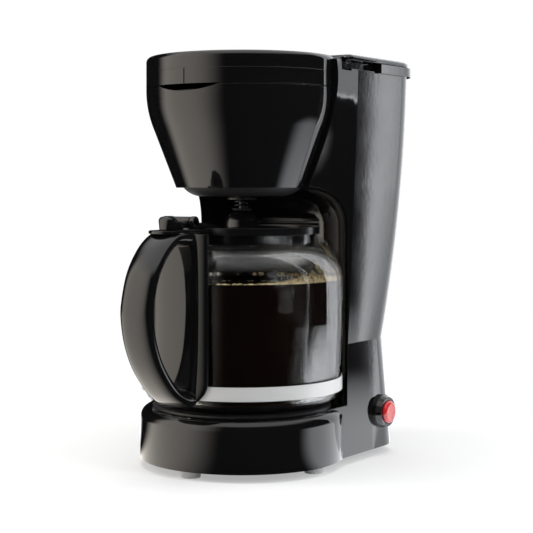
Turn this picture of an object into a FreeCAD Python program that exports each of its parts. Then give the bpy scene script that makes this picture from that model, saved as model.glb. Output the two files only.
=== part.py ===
"""Drip coffee maker: a parametric model of every piece, in millimetres.

+Z is up, the front (the carafe's handle) faces -Y, and the origin is on the carafe's axis at table level.
"""
import FreeCAD, Part
import math
import os
import re
import Sketcher

Vector = FreeCAD.Vector

SIZES = {
    # Feet and base
    "foot_height": 6, "foot_r": 8, "foot_taper": 1, "foot_inset": 12.5, "rear_foot_x": 46, "rear_foot_y": 100,
    "drum_r": 76.5, "drum_top_z": 44, "drum_round": 8, "drum_wall": 3.5, "plate_opening_r": 60,
    "base_half_w": 71, "base_back_y": 123, "corner_r": 30, "floor_plate": 2.5, "plate_gap": 0.3,
    "waist_z": 89.5, "waist_half_w": 66.5, "waist_back_y": 117, "waist_deck": 3.5,
    "hot_plate_r": 67, "hot_plate": 2, "hot_plate_bed": 3.7, "bed_gap": 2,
    # Bay for the carafe
    "bay_gap": 3, "bay_round": 28, "bay_top_z": 208, "bay_wall": 4.5,
    # Tower levels above the waist
    "belly_z": 150, "belly_half_w": 69.6, "belly_back_y": 130,
    "throat_half_w": 72.2, "throat_back_y": 138,
    "shoulder_z": 250, "shoulder_half_w": 74, "shoulder_back_y": 141,
    "crown_z": 301.5, "crown_half_w": 75.5, "crown_back_y": 142.5,
    "side_y": 44, "flange_step": 4.5, "flange_angle": 10,
    "tank_floor_z": 95, "tank_front_y": 83.5, "tank_wall": 4, "deck_z": 283, "deck_half_w": 54, "deck_front_y": 34,
    "rim_proud": 3, "rim_low_z": 294.5, "rim_front_y": 74, "finger_depth": 6, "finger_inset": 5,
    # Head
    "cone_low_r": 49.5, "cone_low_z": 207, "cone_high_r": 67, "cone_high_z": 252.5, "rim_r": 72,
    "skin": 2.5, "door_top_z": 280.7, "door_half_angle": 88, "seam": 0.6, "seam_angle": 0.3,
    "band_top_z": 292.5, "band_wall": 3, "cap_top_z": 304.5, "cap_round": 4, "cap_wall": 3, "head_back_y": 19.2,
    "scoop_half_w": 27, "scoop_depth": 4.5, "tick_width": 0.8, "tick_depth": 0.5,
    # Swing-out brew basket and its hinge
    "hinge_r": 71.4, "hinge_barrel_r": 3.6, "hinge_pin_r": 2, "hinge_low_z": 250, "hinge_mid_z": 258,
    "hinge_high_z": 288, "pin_fit": 0.05, "run_gap": 0.5,
    "cup_wall": 2, "cup_top_z": 276.5, "bowl_r": 44, "bowl_low_z": 201, "bowl_low_r": 26, "drain_r": 4,
    "filter_wall": 1.5, "filter_flange": 1.2, "filter_gap": 1.5, "filter_low_z": 213,
    "filter_hole_r": 2, "filter_hole_ring_r": 20, "filter_holes": 12,
    # Drip stop
    "seat_flange_r": 11, "seat_flange": 1.5, "seat_r": 6, "seat_low_z": 198, "stem_r": 2.5, "stem_fit": 0.08,
    "button_r": 7.5, "button_low_z": 189.4, "button": 1.8, "stop_r": 3.7, "stop_gap": 0.2,
    "spring_r": 5.6, "spring_wire_r": 0.55, "spring_turns": 2,
    # Spray head and tubes
    "spray_r": 30, "spray_low_z": 278.3, "spray": 2.6, "spray_arm_half_w": 7,
    "spray_hole_r": 1.5, "spray_hole_ring_r": 18, "spray_holes": 8,
    "heater_r": 42, "heater_tube_r": 5.5, "heater_leg_y": 34, "heater_gap": 0.2,
    "tube_r": 5.5, "tube_bore_r": 3.5, "tube_bend": 14, "tube_gap": 0.3, "tube_hole_r": 6,
    "riser_y": 97, "riser_top_z": 290, "riser_end_y": 8, "valve_body_r": 9, "valve_body": 6,
    "bracket_half_l": 50, "bracket_y": 22, "bracket_half_w": 6, "bracket": 2.4, "post_r": 4,
    "thermostat_r": 9, "thermostat": 8, "fuse_r": 3, "fuse_length": 22,
    # Switch on the right-hand side, and the cord's inlet
    "switch_y": 90, "switch_z": 33, "boss_r": 13.2, "boss_low_x": 57, "boss_high_x": 71,
    "bezel_r": 12.7, "bezel_front_r": 11.2, "bezel": 4.5, "cap_r": 8.6, "cap_fit": 0.3, "cap_length": 18,
    "cap_edge": 2.5, "switch_travel": 3, "switch_depth": 8, "switch_half": 9,
    "gland_x": -30, "gland_z": 24, "gland_r": 7, "gland_bore_r": 3.8, "gland_flange_r": 9, "gland_flange": 3,
    "gland_depth": 11, "gland_fit": 0.05,
    # Reservoir lid
    "lid_front_y": 31, "lid_over": 1.5, "lid_thick": 2.5, "lid_crown": 2.5, "lid_bevel": 14, "lid_gap": 0.4,
    "lid_axis_y": 25, "lid_axis_z": 299.5, "knuckle_r": 5, "knuckle_low_x": 63, "knuckle_high_x": 74,
    "knuckle_gap": 0.6, "lid_pin_r": 2, "lid_pin_low_x": 57,
    # Carafe glass, collar and steel band
    "glass_low_z": 46.3, "glass_taper": 2, "glass_low_side_z": 58, "glass_foot_round": 12,
    "glass_r": 76, "glass_belly_z": 108, "glass_side_z": 137, "glass_wall": 2.2, "shoulder_round": 33, "neck_r": 57,
    "glass_top_z": 172.6, "collar_r": 58.5, "collar_top_z": 178, "collar_skirt": 6.6, "collar_wall": 2,
    "collar_fit": 0.3, "band_low_z": 57, "band_high_z": 67, "band_thick": 0.8, "band_fit": 0.3,
    # Carafe lid with its thumb lever
    "lid_disc_gap": 0.5, "lid_disc_low_z": 173.5, "lid_disc": 3, "dome_r": 13, "dome_top_r": 7, "dome_top_z": 188.8,
    "dome_wall": 2, "dome_hole_r": 5, "lid_arm_half_w": 8, "lid_arm_start_y": -38, "lever_low_z": 181.2,
    "lever_top_z": 187.5, "lever_y": -97, "lid_hinge_y": -74, "lid_hinge_z": 183.5, "lid_hinge_pin_r": 1.6,
    # Carafe handle
    "ear": 4, "ear_half": 4.5, "ear_gap": 0.4, "plate_half_w": 24.5, "plate_thick": 5, "plate_low_z": 54,
    "plate_high_z": 170, "plate_fit": 0.4, "bridge_low_z": 168, "bridge_high_z": 177.5,
    "grip_half_w": 10.5, "grip_half_t": 7, "grip_reach": 121.6, "grip_mid_z": 118, "grip_high_r": 57,
    "grip_low_r": 66, "grip_edge": 5,
}

doc = FreeCAD.newDocument("DripCoffeeMaker")
sheet = doc.addObject("Spreadsheet::Sheet", "Sizes")
for row, (alias, size) in enumerate(SIZES.items(), start=1):
    sheet.set(f"A{row}", alias)
    sheet.set(f"B{row}", str(size))
    sheet.setAlias(f"B{row}", alias)
doc.recompute()


def bind(text):
    """The expression with every size written as a cell of the sheet."""
    return re.sub(r"[a-z_]+", lambda word: f"Sizes.{word[0]}" if word[0] in SIZES else word[0], text)


def value(text):
    return float(sheet.evalExpression(bind(text)))


def set_size(thing, prop, text):
    thing.setExpression(prop, bind(text))


def body(label):
    made = doc.addObject("PartDesign::Body", label)
    made.Label = label
    return made


def sketch(owner, name, plane="XY_Plane", shift="0"):
    """A sketch on one of the body's own planes, moved along that plane's normal."""
    made = owner.newObject("Sketcher::SketchObject", name)
    made.AttachmentSupport = [(next(f for f in owner.Origin.OriginFeatures if f.Role == plane), "")]
    made.MapMode = "FlatFace"
    set_size(made, "AttachmentOffset.Base.z", shift)
    return made


def constrain(sk, kind, spot, text):
    index = sk.addConstraint(Sketcher.Constraint(kind, *spot, value(text)))
    sk.setExpression(f"Constraints[{index}]", bind(text))


def place(sk, geo, end, across, up):
    """Hold one end of a piece of geometry at a place given by two expressions."""
    for kind, axis, text in (("DistanceX", -2, across), ("DistanceY", -1, up)):
        if text == "0":
            sk.addConstraint(Sketcher.Constraint("PointOnObject", geo, end, axis))
        else:
            constrain(sk, kind, (-1, 1, geo, end), text)


def arc_between(start, end, radius):
    """An arc of under half a turn; a positive radius bulges to the right of the way from start to end."""
    chord = end - start
    half = chord.Length / 2
    left = Vector(-chord.y, chord.x, 0).normalize()
    rise = math.sqrt(max(radius * radius - half * half, 0.0))
    centre = (start + end) * 0.5 + left * math.copysign(rise, radius)
    angle = [math.atan2(p.y - centre.y, p.x - centre.x) for p in (start, end)]
    ends = (1, 2)
    if radius < 0:
        angle.reverse()
        ends = (2, 1)
    circle = Part.Circle(centre, Vector(0, 0, 1), abs(radius))
    return Part.ArcOfCircle(circle, angle[0], angle[1]), *ends


def outline(sk, points, closed=True):
    """Lines and arcs through points (across, up) or (across, up, radius of the arc to the next point)."""
    spots = [Vector(value(p[0]), value(p[1]), 0) for p in points]
    runs = []
    for i in range(len(points) if closed else len(points) - 1):
        start, end = spots[i], spots[(i + 1) % len(points)]
        if len(points[i]) > 2:
            shape, first, last = arc_between(start, end, value(points[i][2]))
        else:
            shape, first, last = Part.LineSegment(start, end), 1, 2
        runs.append((sk.addGeometry(shape), first, last))
    for i, (geo, first, last) in enumerate(runs):
        if closed or i > 0:
            sk.addConstraint(Sketcher.Constraint("Coincident", runs[i - 1][0], runs[i - 1][2], geo, first))
        place(sk, geo, first, *points[i][:2])
        if len(points[i]) > 2:
            constrain(sk, "Radius", (geo,), f"abs({points[i][2]})")
    if not closed:
        place(sk, runs[-1][0], runs[-1][2], *points[-1][:2])


def ring(sk, radius, across="0", up="0"):
    geo = sk.addGeometry(Part.Circle(Vector(value(across), value(up), 0), Vector(0, 0, 1), value(radius)))
    constrain(sk, "Radius", (geo,), radius)
    place(sk, geo, 3, across, up)


def box(left, right, low, high):
    return [(left, low), (right, low), (right, high), (left, high)]


def forward(points):
    """The same profile on the other side of the vertical axis."""
    return [(f"-({p[0]})", p[1], *(f"-({r})" for r in p[2:])) for p in points]


def turn(owner, name, points, plane="XZ_Plane", angle="360", cut=False):
    """A profile turned about the vertical axis, or about X where the axis is given, evenly to both sides."""
    sk = sketch(owner, f"{name}_profile", plane)
    outline(sk, points)
    made = owner.newObject("PartDesign::Groove" if cut else "PartDesign::Revolution", name)
    made.Profile = sk
    made.ReferenceAxis = (sk, ["V_Axis"])
    made.Midplane = True
    set_size(made, "Angle", angle)
    return made


def pad(owner, name, shapes, low, high, plane="XY_Plane", cut=False):
    """Outlines (lists) or circles (tuples) raised, or cut, from one height to another along the plane's normal."""
    sk = sketch(owner, f"{name}_outline", plane, low)
    for shape in shapes:
        if isinstance(shape, list):
            outline(sk, shape)
        else:
            ring(sk, *shape)
    made = owner.newObject("PartDesign::Pocket" if cut else "PartDesign::Pad", name)
    made.Profile = sk
    made.Reversed = cut
    set_size(made, "Length", f"{high} - ({low})")
    return made


def loft(owner, name, sections):
    """A skin through outlines at rising heights, given as (height, points)."""
    made = None
    for i, (height, points) in enumerate(sections):
        sk = sketch(owner, f"{name}_{i}", "XY_Plane", height)
        outline(sk, points)
        if made is None:
            first, made = sk, []
        else:
            made.append(sk)
    skin = owner.newObject("PartDesign::AdditiveLoft", name)
    skin.Profile = first
    skin.Sections = made
    return skin


def pipe(owner, name, spine, section):
    made = owner.newObject("PartDesign::AdditivePipe", name)
    made.Profile = section
    made.Spine = (spine, [])
    return made


def cylinder(label, radius, length, x="0", y="0", z="0", along="Z"):
    made = doc.addObject("Part::Cylinder", label)
    made.Label = label
    set_size(made, "Radius", radius)
    set_size(made, "Height", length)
    lean = {"Z": FreeCAD.Rotation(), "X": FreeCAD.Rotation(Vector(0, 1, 0), 90),
            "Y": FreeCAD.Rotation(Vector(1, 0, 0), -90)}[along]
    made.Placement = FreeCAD.Placement(Vector(), lean)
    for axis, text in zip("xyz", (x, y, z)):
        set_size(made, f"Placement.Base.{axis}", text)
    return made


def block(label, x, y, z):
    """A box between two expressions on each axis."""
    made = doc.addObject("Part::Box", label)
    made.Label = label
    for axis, prop, (low, high) in zip("xyz", ("Length", "Width", "Height"), (x, y, z)):
        set_size(made, f"Placement.Base.{axis}", low)
        set_size(made, prop, f"{high} - ({low})")
    return made


def joined(label, *pieces):
    made = doc.addObject("Part::MultiFuse", label)
    made.Label = label
    made.Shapes = list(pieces)
    return made


def cut_from(label, base, tool):
    made = doc.addObject("Part::Cut", label)
    made.Label = label
    made.Base = base
    made.Tool = tool
    return made


def rear_outline(half_w, front_y, back_y, corner):
    """A plan with square front corners and rounded back ones."""
    return [(f"-({half_w})", front_y), (half_w, front_y), (half_w, f"{back_y} - ({corner})", corner),
            (f"{half_w} - ({corner})", back_y), (f"{corner} - ({half_w})", back_y, corner),
            (f"-({half_w})", f"{back_y} - ({corner})")]


# Head's side: a cone that bends into an upright rim
CONE_SLOPE = "((cone_high_r - cone_low_r) / (cone_high_z - cone_low_z))"
CONE_CORNER_Z = f"(cone_high_z + (rim_r - cone_high_r) / {CONE_SLOPE})"
CONE_TANGENT = f"((rim_r - cone_high_r) * sqrt(1 + 1 / {CONE_SLOPE}^2))"
CONE_ROUND = f"({CONE_TANGENT} / tan(atan({CONE_SLOPE}) / 2))"
CONE_RIM_Z = f"({CONE_CORNER_Z} + {CONE_TANGENT})"
BAND_LOW_Z = "(door_top_z + seam)"


def head_side(inset):
    """Points of the head's side, upwards, moved in towards the axis."""
    return [(f"cone_low_r - ({inset})", "cone_low_z"),
            (f"cone_high_r - ({inset})", "cone_high_z", CONE_ROUND),
            (f"rim_r - ({inset})", CONE_RIM_Z)]


def head_inside(inset):
    """The same points downwards."""
    low, high, rim = head_side(inset)
    return [(*rim, f"-{CONE_ROUND}"), high[:2], low]


def head_skin(outer, inner, top_z):
    """A closed profile between two insets, from the cone's foot to a height."""
    return head_side(outer) + [(f"rim_r - ({outer})", top_z), (f"rim_r - ({inner})", top_z)] + head_inside(inner)


def cone_r(height):
    return f"(cone_low_r + ({height} - cone_low_z) * {CONE_SLOPE})"


def half_disc(radius, back_y):
    """A plan of a disc's front part, cut straight at the back."""
    half = f"sqrt(({radius})^2 - ({back_y})^2)"
    return [(half, back_y), (f"-({half})", back_y, radius), ("0", f"-({radius})", radius)]


def tower_outline(half_w, back_y, front_r):
    """A plan of the tower: two front corners on the head's flange, then the sides and the round back."""
    front_x = f"{front_r} * cos(flange_angle)"
    front_y = f"{front_r} * sin(flange_angle)"
    rear = rear_outline(half_w, "side_y", back_y, "corner_r")
    return [(f"-({front_x})", front_y), (front_x, front_y)] + rear[1:] + rear[:1]


# Base: drum, foot of the tower and the inside of both
base = body("base_housing")
loft(base, "foot_of_tower", [("foot_height", rear_outline("base_half_w", "0", "base_back_y", "corner_r")),
                             ("waist_z", rear_outline("waist_half_w", "0", "waist_back_y", "corner_r"))])
BAY_R = "(glass_r + bay_gap)"
turn(base, "drum", [("0", "foot_height"), ("drum_r", "foot_height"),
                    ("drum_r", "drum_top_z - drum_round", "drum_round"),
                    ("drum_r - drum_round", "drum_top_z"), ("0", "drum_top_z")])
pad(base, "switch_boss", [("boss_r", "switch_y", "switch_z")], "boss_low_x", "boss_high_x", "YZ_Plane")
turn(base, "bay_wall_cut", [("0", "drum_top_z"), (BAY_R, "drum_top_z"), (BAY_R, "waist_z + bay_wall"),
                            ("0", "waist_z + bay_wall")], cut=True)
DRUM_ROOF_Z = "(drum_top_z - drum_wall)"
pad(base, "drum_inside", [("drum_r - drum_wall",)], "foot_height", DRUM_ROOF_Z, cut=True)
pad(base, "hot_plate_opening", [("plate_opening_r",)], DRUM_ROOF_Z, "drum_top_z + drum_wall", cut=True)
LOW_CAVITY = ("waist_half_w - drum_wall / 2", "heater_leg_y / 2", "waist_back_y - drum_wall / 2",
              "corner_r - drum_wall")
pad(base, "rear_inside", [rear_outline(*LOW_CAVITY)], "foot_height", DRUM_ROOF_Z, cut=True)
pad(base, "rear_inside_high", [rear_outline("waist_half_w - drum_wall", "tank_front_y", "waist_back_y - drum_wall",
                                            "corner_r - drum_wall")],
    DRUM_ROOF_Z, "waist_z - waist_deck", cut=True)
pad(base, "switch_boss_inside", [("boss_r", "switch_y", "switch_z")], "boss_low_x", "boss_high_x", "YZ_Plane")
pad(base, "switch_hole", [("cap_r + cap_fit", "switch_y", "switch_z")],
    "boss_low_x - drum_wall", "boss_high_x + drum_wall", "YZ_Plane", cut=True)
pad(base, "tube_holes", [("tube_hole_r", "heater_r", "riser_y"), ("tube_hole_r", "-heater_r", "riser_y")],
    "waist_z - 2 * waist_deck", "waist_z + waist_deck", cut=True)
pad(base, "gland_hole", [("gland_r + gland_fit", "gland_x", "gland_z")],
    "-(base_back_y + gland_depth)", "-(base_back_y - 2 * gland_depth)", "XZ_Plane", cut=True)

floor_plate = body("base_plate")
pad(floor_plate, "round_floor", [("drum_r - drum_wall - plate_gap",)], "foot_height", "foot_height + floor_plate")
pad(floor_plate, "rear_floor", [rear_outline("waist_half_w - drum_wall / 2 - plate_gap", "0",
                                             "waist_back_y - drum_wall / 2 - plate_gap", "corner_r - drum_wall")],
    "foot_height", "foot_height + floor_plate")

FOOT_RING_R = "(drum_r - foot_inset)"
FEET = {"foot_front": ("0", f"-{FOOT_RING_R}"), "foot_right": (FOOT_RING_R, "0"),
        "foot_left": (f"-{FOOT_RING_R}", "0"),
        "foot_rear_right": ("rear_foot_x", "rear_foot_y"), "foot_rear_left": ("-rear_foot_x", "rear_foot_y")}
feet = []
for label, (foot_x, foot_y) in FEET.items():
    foot = doc.addObject("Part::Cone", label)
    foot.Label = label
    set_size(foot, "Radius1", "foot_r - foot_taper")
    set_size(foot, "Radius2", "foot_r")
    set_size(foot, "Height", "foot_height")
    set_size(foot, "Placement.Base.x", foot_x)
    set_size(foot, "Placement.Base.y", foot_y)
    feet.append(foot)

# Warming plate and heater
BED_Z = "(drum_top_z - hot_plate_bed)"
hot_plate = body("warming_plate")
turn(hot_plate, "disc", [("0", BED_Z), ("plate_opening_r - bed_gap", BED_Z), ("plate_opening_r - bed_gap", "drum_top_z"),
                         ("hot_plate_r", "drum_top_z"),
                         ("hot_plate_r", "drum_top_z + hot_plate / 2"),
                         ("hot_plate_r - hot_plate", "drum_top_z + hot_plate"), ("0", "drum_top_z + hot_plate")])

HEATER_Z = f"({BED_Z} - heater_gap - heater_tube_r)"
heater = body("heater_element")
heater_path = sketch(heater, "horseshoe", "XY_Plane", HEATER_Z)
outline(heater_path, [("heater_r", "heater_leg_y"), ("heater_r", "0", "-heater_r"), ("0", "-heater_r", "-heater_r"),
                      ("-heater_r", "0"), ("-heater_r", "heater_leg_y")], closed=False)
heater_section = sketch(heater, "tube", "XZ_Plane", "-heater_leg_y")
ring(heater_section, "heater_tube_r", "heater_r", HEATER_Z)
pipe(heater, "heater_pipe", heater_path, heater_section)

BRACKET_TOP_Z = f"({HEATER_Z} - heater_tube_r - heater_gap)"
bracket = joined(
    "heater_bracket",
    block("bracket_bar", ("-bracket_half_l", "bracket_half_l"),
          ("bracket_y - bracket_half_w", "bracket_y + bracket_half_w"),
          (f"{BRACKET_TOP_Z} - bracket", BRACKET_TOP_Z)),
    cylinder("bracket_post", "post_r", f"{BED_Z} - {BRACKET_TOP_Z}", "0", "bracket_y", BRACKET_TOP_Z))
thermostat = cylinder("thermostat", "thermostat_r", "thermostat", z=f"{BED_Z} - thermostat")
fuse = cylinder("thermal_fuse", "fuse_r", "fuse_length", "post_r + fuse_r", "bracket_y",
                f"{BRACKET_TOP_Z} + fuse_r", "X")


# Water's way from the tank to the spray head
def water_tube(label, x, corners):
    """A hollow tube in an upright plane; the corners are (y, z) and each bend turns a right angle."""
    made = body(label)
    path = sketch(made, f"{label}_path", "YZ_Plane", x)
    outline(path, corners, closed=False)
    section = sketch(made, f"{label}_section", "XZ_Plane", "-(heater_leg_y + tube_gap)")
    ring(section, "tube_r", x, HEATER_Z)
    ring(section, "tube_bore_r", x, HEATER_Z)
    pipe(made, f"{label}_pipe", path, section)
    return made


TUBE_START = ("heater_leg_y + tube_gap", HEATER_Z)
FIRST_BEND = [("riser_y - tube_bend", HEATER_Z, "tube_bend"), ("riser_y", f"{HEATER_Z} + tube_bend")]
inlet_hose = water_tube("inlet_hose", "-heater_r", [TUBE_START] + FIRST_BEND + [("riser_y", "tank_floor_z")])
riser_tube = water_tube("riser_tube", "heater_r", [TUBE_START] + FIRST_BEND
                        + [("riser_y", "riser_top_z - tube_bend", "tube_bend"),
                           ("riser_y - tube_bend", "riser_top_z"), ("riser_end_y + tube_gap", "riser_top_z")])

check_valve = body("check_valve")
pad(check_valve, "valve_housing", [("valve_body_r", "-heater_r", "riser_y"), ("tube_bore_r", "-heater_r", "riser_y")],
    "tank_floor_z", "tank_floor_z + valve_body")

spray = body("spray_head")
SPRAY_TOP_Z = "(spray_low_z + spray)"
pad(spray, "spray_disc", [("spray_r",)], "spray_low_z", SPRAY_TOP_Z)
pad(spray, "spray_arm", [box("-spray_arm_half_w", "heater_r + spray_arm_half_w", "riser_end_y - 2 * spray_arm_half_w",
                             "riser_end_y")], SPRAY_TOP_Z, "riser_top_z + tube_r")
pad(spray, "hanger", [("spray_arm_half_w",)], SPRAY_TOP_Z, "cap_top_z - cap_wall")
spray_hole = pad(spray, "spray_hole", [("spray_hole_r", "spray_hole_ring_r")], "spray_low_z", "spray_low_z + spray / 2",
                 cut=True)
spray_ring = spray.newObject("PartDesign::PolarPattern", "spray_hole_ring")
spray_ring.Originals = [spray_hole]
spray_ring.Axis = (spray_hole.Profile[0], ["N_Axis"])
spray_ring.Angle = 360
set_size(spray_ring, "Occurrences", "spray_holes")
spray.Tip = spray_ring

# Switch: housing, bezel and the push cap; and the inlet for the cord
switch_body = block("switch_body", ("boss_low_x - switch_depth", "boss_low_x"),
                    ("switch_y - switch_half", "switch_y + switch_half"),
                    ("switch_z - switch_half", f"{DRUM_ROOF_Z} - plate_gap"))
bezel_solid = doc.addObject("Part::Cone", "bezel_solid")
set_size(bezel_solid, "Radius1", "bezel_r")
set_size(bezel_solid, "Radius2", "bezel_front_r")
set_size(bezel_solid, "Height", "bezel")
bezel_solid.Placement = FreeCAD.Placement(Vector(), FreeCAD.Rotation(Vector(0, 1, 0), 90))
for axis, text in zip("xyz", ("boss_high_x", "switch_y", "switch_z")):
    set_size(bezel_solid, f"Placement.Base.{axis}", text)
bezel = cut_from("switch_bezel", bezel_solid, cylinder("bezel_bore", "cap_r + cap_fit", "bezel", "boss_high_x",
                                                       "switch_y", "switch_z", "X"))

button = body("power_button")
BUTTON_LOW_X = "(boss_low_x + switch_travel + plate_gap)"
button_plug = pad(button, "button_plug", [("cap_r", "switch_y", "switch_z")], BUTTON_LOW_X,
                  f"{BUTTON_LOW_X} + cap_length", "YZ_Plane")
doc.recompute()
front_edge = max(range(len(button_plug.Shape.Edges)), key=lambda i: button_plug.Shape.Edges[i].CenterOfMass.x)
rounded = button.newObject("PartDesign::Fillet", "button_round")
rounded.Base = (button_plug, [f"Edge{front_edge + 1}"])
set_size(rounded, "Radius", "cap_edge")

GLAND_RISE = "(gland_z - gland_flange_r - foot_height) / (waist_z - foot_height)"
GLAND_SEAT_Y = f"base_back_y - (base_back_y - waist_back_y) * {GLAND_RISE}"
gland = body("cord_gland")
pad(gland, "gland_barrel", [("gland_r", "gland_x", "gland_z")], f"-({GLAND_SEAT_Y})",
    f"-({GLAND_SEAT_Y} - gland_depth)", "XZ_Plane")
pad(gland, "gland_flange_disc", [("gland_flange_r", "gland_x", "gland_z")], f"-({GLAND_SEAT_Y} + gland_flange)",
    f"-({GLAND_SEAT_Y})", "XZ_Plane")
pad(gland, "gland_bore", [("gland_bore_r", "gland_x", "gland_z")], f"-({GLAND_SEAT_Y} + 2 * gland_flange)",
    f"-({GLAND_SEAT_Y} - 2 * gland_depth)", "XZ_Plane", cut=True)

# Tower: the water tank's outer wall, hollowed for the bay, the head, the tank and the lid's hinge
tower = body("tower_shell")
FLANGE_AT = {"waist_z": f"({cone_r('waist_z')} + flange_step)", "belly_z": f"({cone_r('belly_z')} + flange_step)",
             "cone_low_z": "(cone_low_r + flange_step)", "shoulder_z": f"({cone_r('shoulder_z')} + flange_step)",
             "crown_z": "(rim_r + flange_step)"}
loft(tower, "tower_skin", [
    ("waist_z", tower_outline("waist_half_w", "waist_back_y", FLANGE_AT["waist_z"])),
    ("belly_z", tower_outline("belly_half_w", "belly_back_y", FLANGE_AT["belly_z"])),
    ("cone_low_z", tower_outline("throat_half_w", "throat_back_y", FLANGE_AT["cone_low_z"])),
    ("shoulder_z", tower_outline("shoulder_half_w", "shoulder_back_y", FLANGE_AT["shoulder_z"])),
    ("crown_z", tower_outline("crown_half_w", "crown_back_y", FLANGE_AT["crown_z"]))])
RIM_HALF_W = "(crown_half_w + rim_proud)"
pad(tower, "tank_rim", [rear_outline(RIM_HALF_W, "rim_front_y", "crown_back_y + rim_proud", "corner_r + rim_proud")],
    "rim_low_z", "crown_z")
turn(tower, "bay_cut", [("0", "waist_z - bay_wall"), (BAY_R, "waist_z - bay_wall"),
                        (BAY_R, "bay_top_z - bay_round", "bay_round"), (f"{BAY_R} - bay_round", "bay_top_z"),
                        ("0", "bay_top_z")], cut=True)
turn(tower, "head_seat", [("0", "cone_low_z - bay_wall"), ("cone_low_r + plate_gap", "cone_low_z - bay_wall")]
     + head_side("-plate_gap") + [("rim_r + plate_gap", BAND_LOW_Z), ("0", BAND_LOW_Z)], cut=True)
pad(tower, "cap_seat", [half_disc("rim_r + plate_gap", "head_back_y + plate_gap")], "door_top_z",
    "crown_z + cap_wall", cut=True)
TANK_CORNER = "corner_r - tank_wall"
tank = tower.newObject("PartDesign::SubtractiveLoft", "tank_inside")
tank_low = sketch(tower, "tank_low", "XY_Plane", "tank_floor_z")
outline(tank_low, rear_outline("waist_half_w - tank_wall", "tank_front_y", "waist_back_y - tank_wall", TANK_CORNER))
tank_high = sketch(tower, "tank_high", "XY_Plane", "crown_z + tank_wall")
outline(tank_high, rear_outline("crown_half_w - tank_wall - rim_proud", "tank_front_y",
                                "crown_back_y - tank_wall - rim_proud", TANK_CORNER))
tank.Profile = tank_low
tank.Sections = [tank_high]
tower.Tip = tank
pad(tower, "deck_well", [box("-deck_half_w", "deck_half_w", "deck_front_y", "tank_front_y + tank_wall")], "deck_z",
    "crown_z + tank_wall", cut=True)
FINGER_X = "crown_half_w - finger_inset"
pad(tower, "finger_gaps", [box(FINGER_X, "crown_half_w + finger_inset", "deck_front_y", "rim_front_y"),
                           box("-crown_half_w - finger_inset", f"-({FINGER_X})", "deck_front_y", "rim_front_y")],
    "crown_z - finger_depth", "crown_z + tank_wall", cut=True)
NOTCH_LOW_X = "(knuckle_low_x - knuckle_gap)"
NOTCH_Y = ("lid_axis_y - knuckle_r - knuckle_gap", "deck_front_y")
NOTCH_Z = "lid_axis_z - knuckle_r - knuckle_gap"
pad(tower, "hinge_notches", [box(NOTCH_LOW_X, "crown_half_w + finger_inset", *NOTCH_Y),
                             box("-crown_half_w - finger_inset", f"-{NOTCH_LOW_X}", *NOTCH_Y)],
    NOTCH_Z, "crown_z + tank_wall", cut=True)
pad(tower, "lid_pin_hole", [("lid_pin_r + pin_fit", "lid_axis_y", "lid_axis_z")], f"-{NOTCH_LOW_X} - knuckle_gap",
    "knuckle_low_x", "YZ_Plane", cut=True)
pad(tower, "tower_tube_holes", [("tube_hole_r", "heater_r", "riser_y"), ("tube_hole_r", "-heater_r", "riser_y")],
    "waist_z - waist_deck", "tank_floor_z + waist_deck", cut=True)
pad(tower, "riser_way", [("tube_hole_r", "heater_r", "riser_top_z")], "-(tank_front_y)", "0", "XZ_Plane", cut=True)

# Head: fixed rear skin, band, cap
head = body("head_shell")
turn(head, "rear_skin", head_skin("0", "skin", "door_top_z"), "YZ_Plane",
     "360 - 2 * (door_half_angle + seam_angle)")
HINGE_X = "(-hinge_r * sin(door_half_angle))"
HINGE_Y = "(-hinge_r * cos(door_half_angle))"
pad(head, "barrel_way", [("hinge_barrel_r + run_gap", HINGE_X, HINGE_Y)],
    "hinge_mid_z", "door_top_z + seam", cut=True)
pad(head, "lower_lug", [("hinge_barrel_r", HINGE_X, HINGE_Y)], "hinge_low_z", "hinge_mid_z")
pad(head, "lug_hole", [("hinge_pin_r + pin_fit", HINGE_X, HINGE_Y)],
    "hinge_low_z - seam", "hinge_mid_z + seam", cut=True)

band = body("head_band")
turn(band, "band_ring", [("rim_r - band_wall", BAND_LOW_Z), ("rim_r", BAND_LOW_Z), ("rim_r", "band_top_z"),
                         ("rim_r - band_wall", "band_top_z")])
REAR_BOX = box("-rim_r - band_wall", "rim_r + band_wall", "head_back_y", "rim_r + band_wall")
pad(band, "band_back", [REAR_BOX], "door_top_z", "cap_top_z", cut=True)
pad(band, "upper_lug", [("hinge_barrel_r", HINGE_X, HINGE_Y)], BAND_LOW_Z, "hinge_high_z")
pad(band, "upper_lug_hole", [("hinge_pin_r + pin_fit", HINGE_X, HINGE_Y)],
    "door_top_z", "hinge_high_z - seam", cut=True)
pad(band, "front_tick", [box("-tick_width / 2", "tick_width / 2", "-rim_r - band_wall", "tick_depth - rim_r")],
    "door_top_z", "cap_top_z", cut=True)

cap = body("head_cap")
turn(cap, "cap_shell", [("rim_r - band_wall", "band_top_z"), ("rim_r", "band_top_z"),
                        ("rim_r", "cap_top_z - cap_round", "cap_round"), ("rim_r - cap_round", "cap_top_z"),
                        ("0", "cap_top_z"), ("0", "cap_top_z - cap_wall"),
                        ("rim_r - band_wall", "cap_top_z - cap_wall")])
pad(cap, "cap_back", [REAR_BOX], "door_top_z", "cap_top_z + cap_wall", cut=True)

# Brew basket that swings out on a pin at the left-hand seam
hinge_pin = cylinder("basket_hinge_pin", "hinge_pin_r", "hinge_high_z - seam - hinge_low_z", HINGE_X,
                     HINGE_Y, "hinge_low_z")

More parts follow.
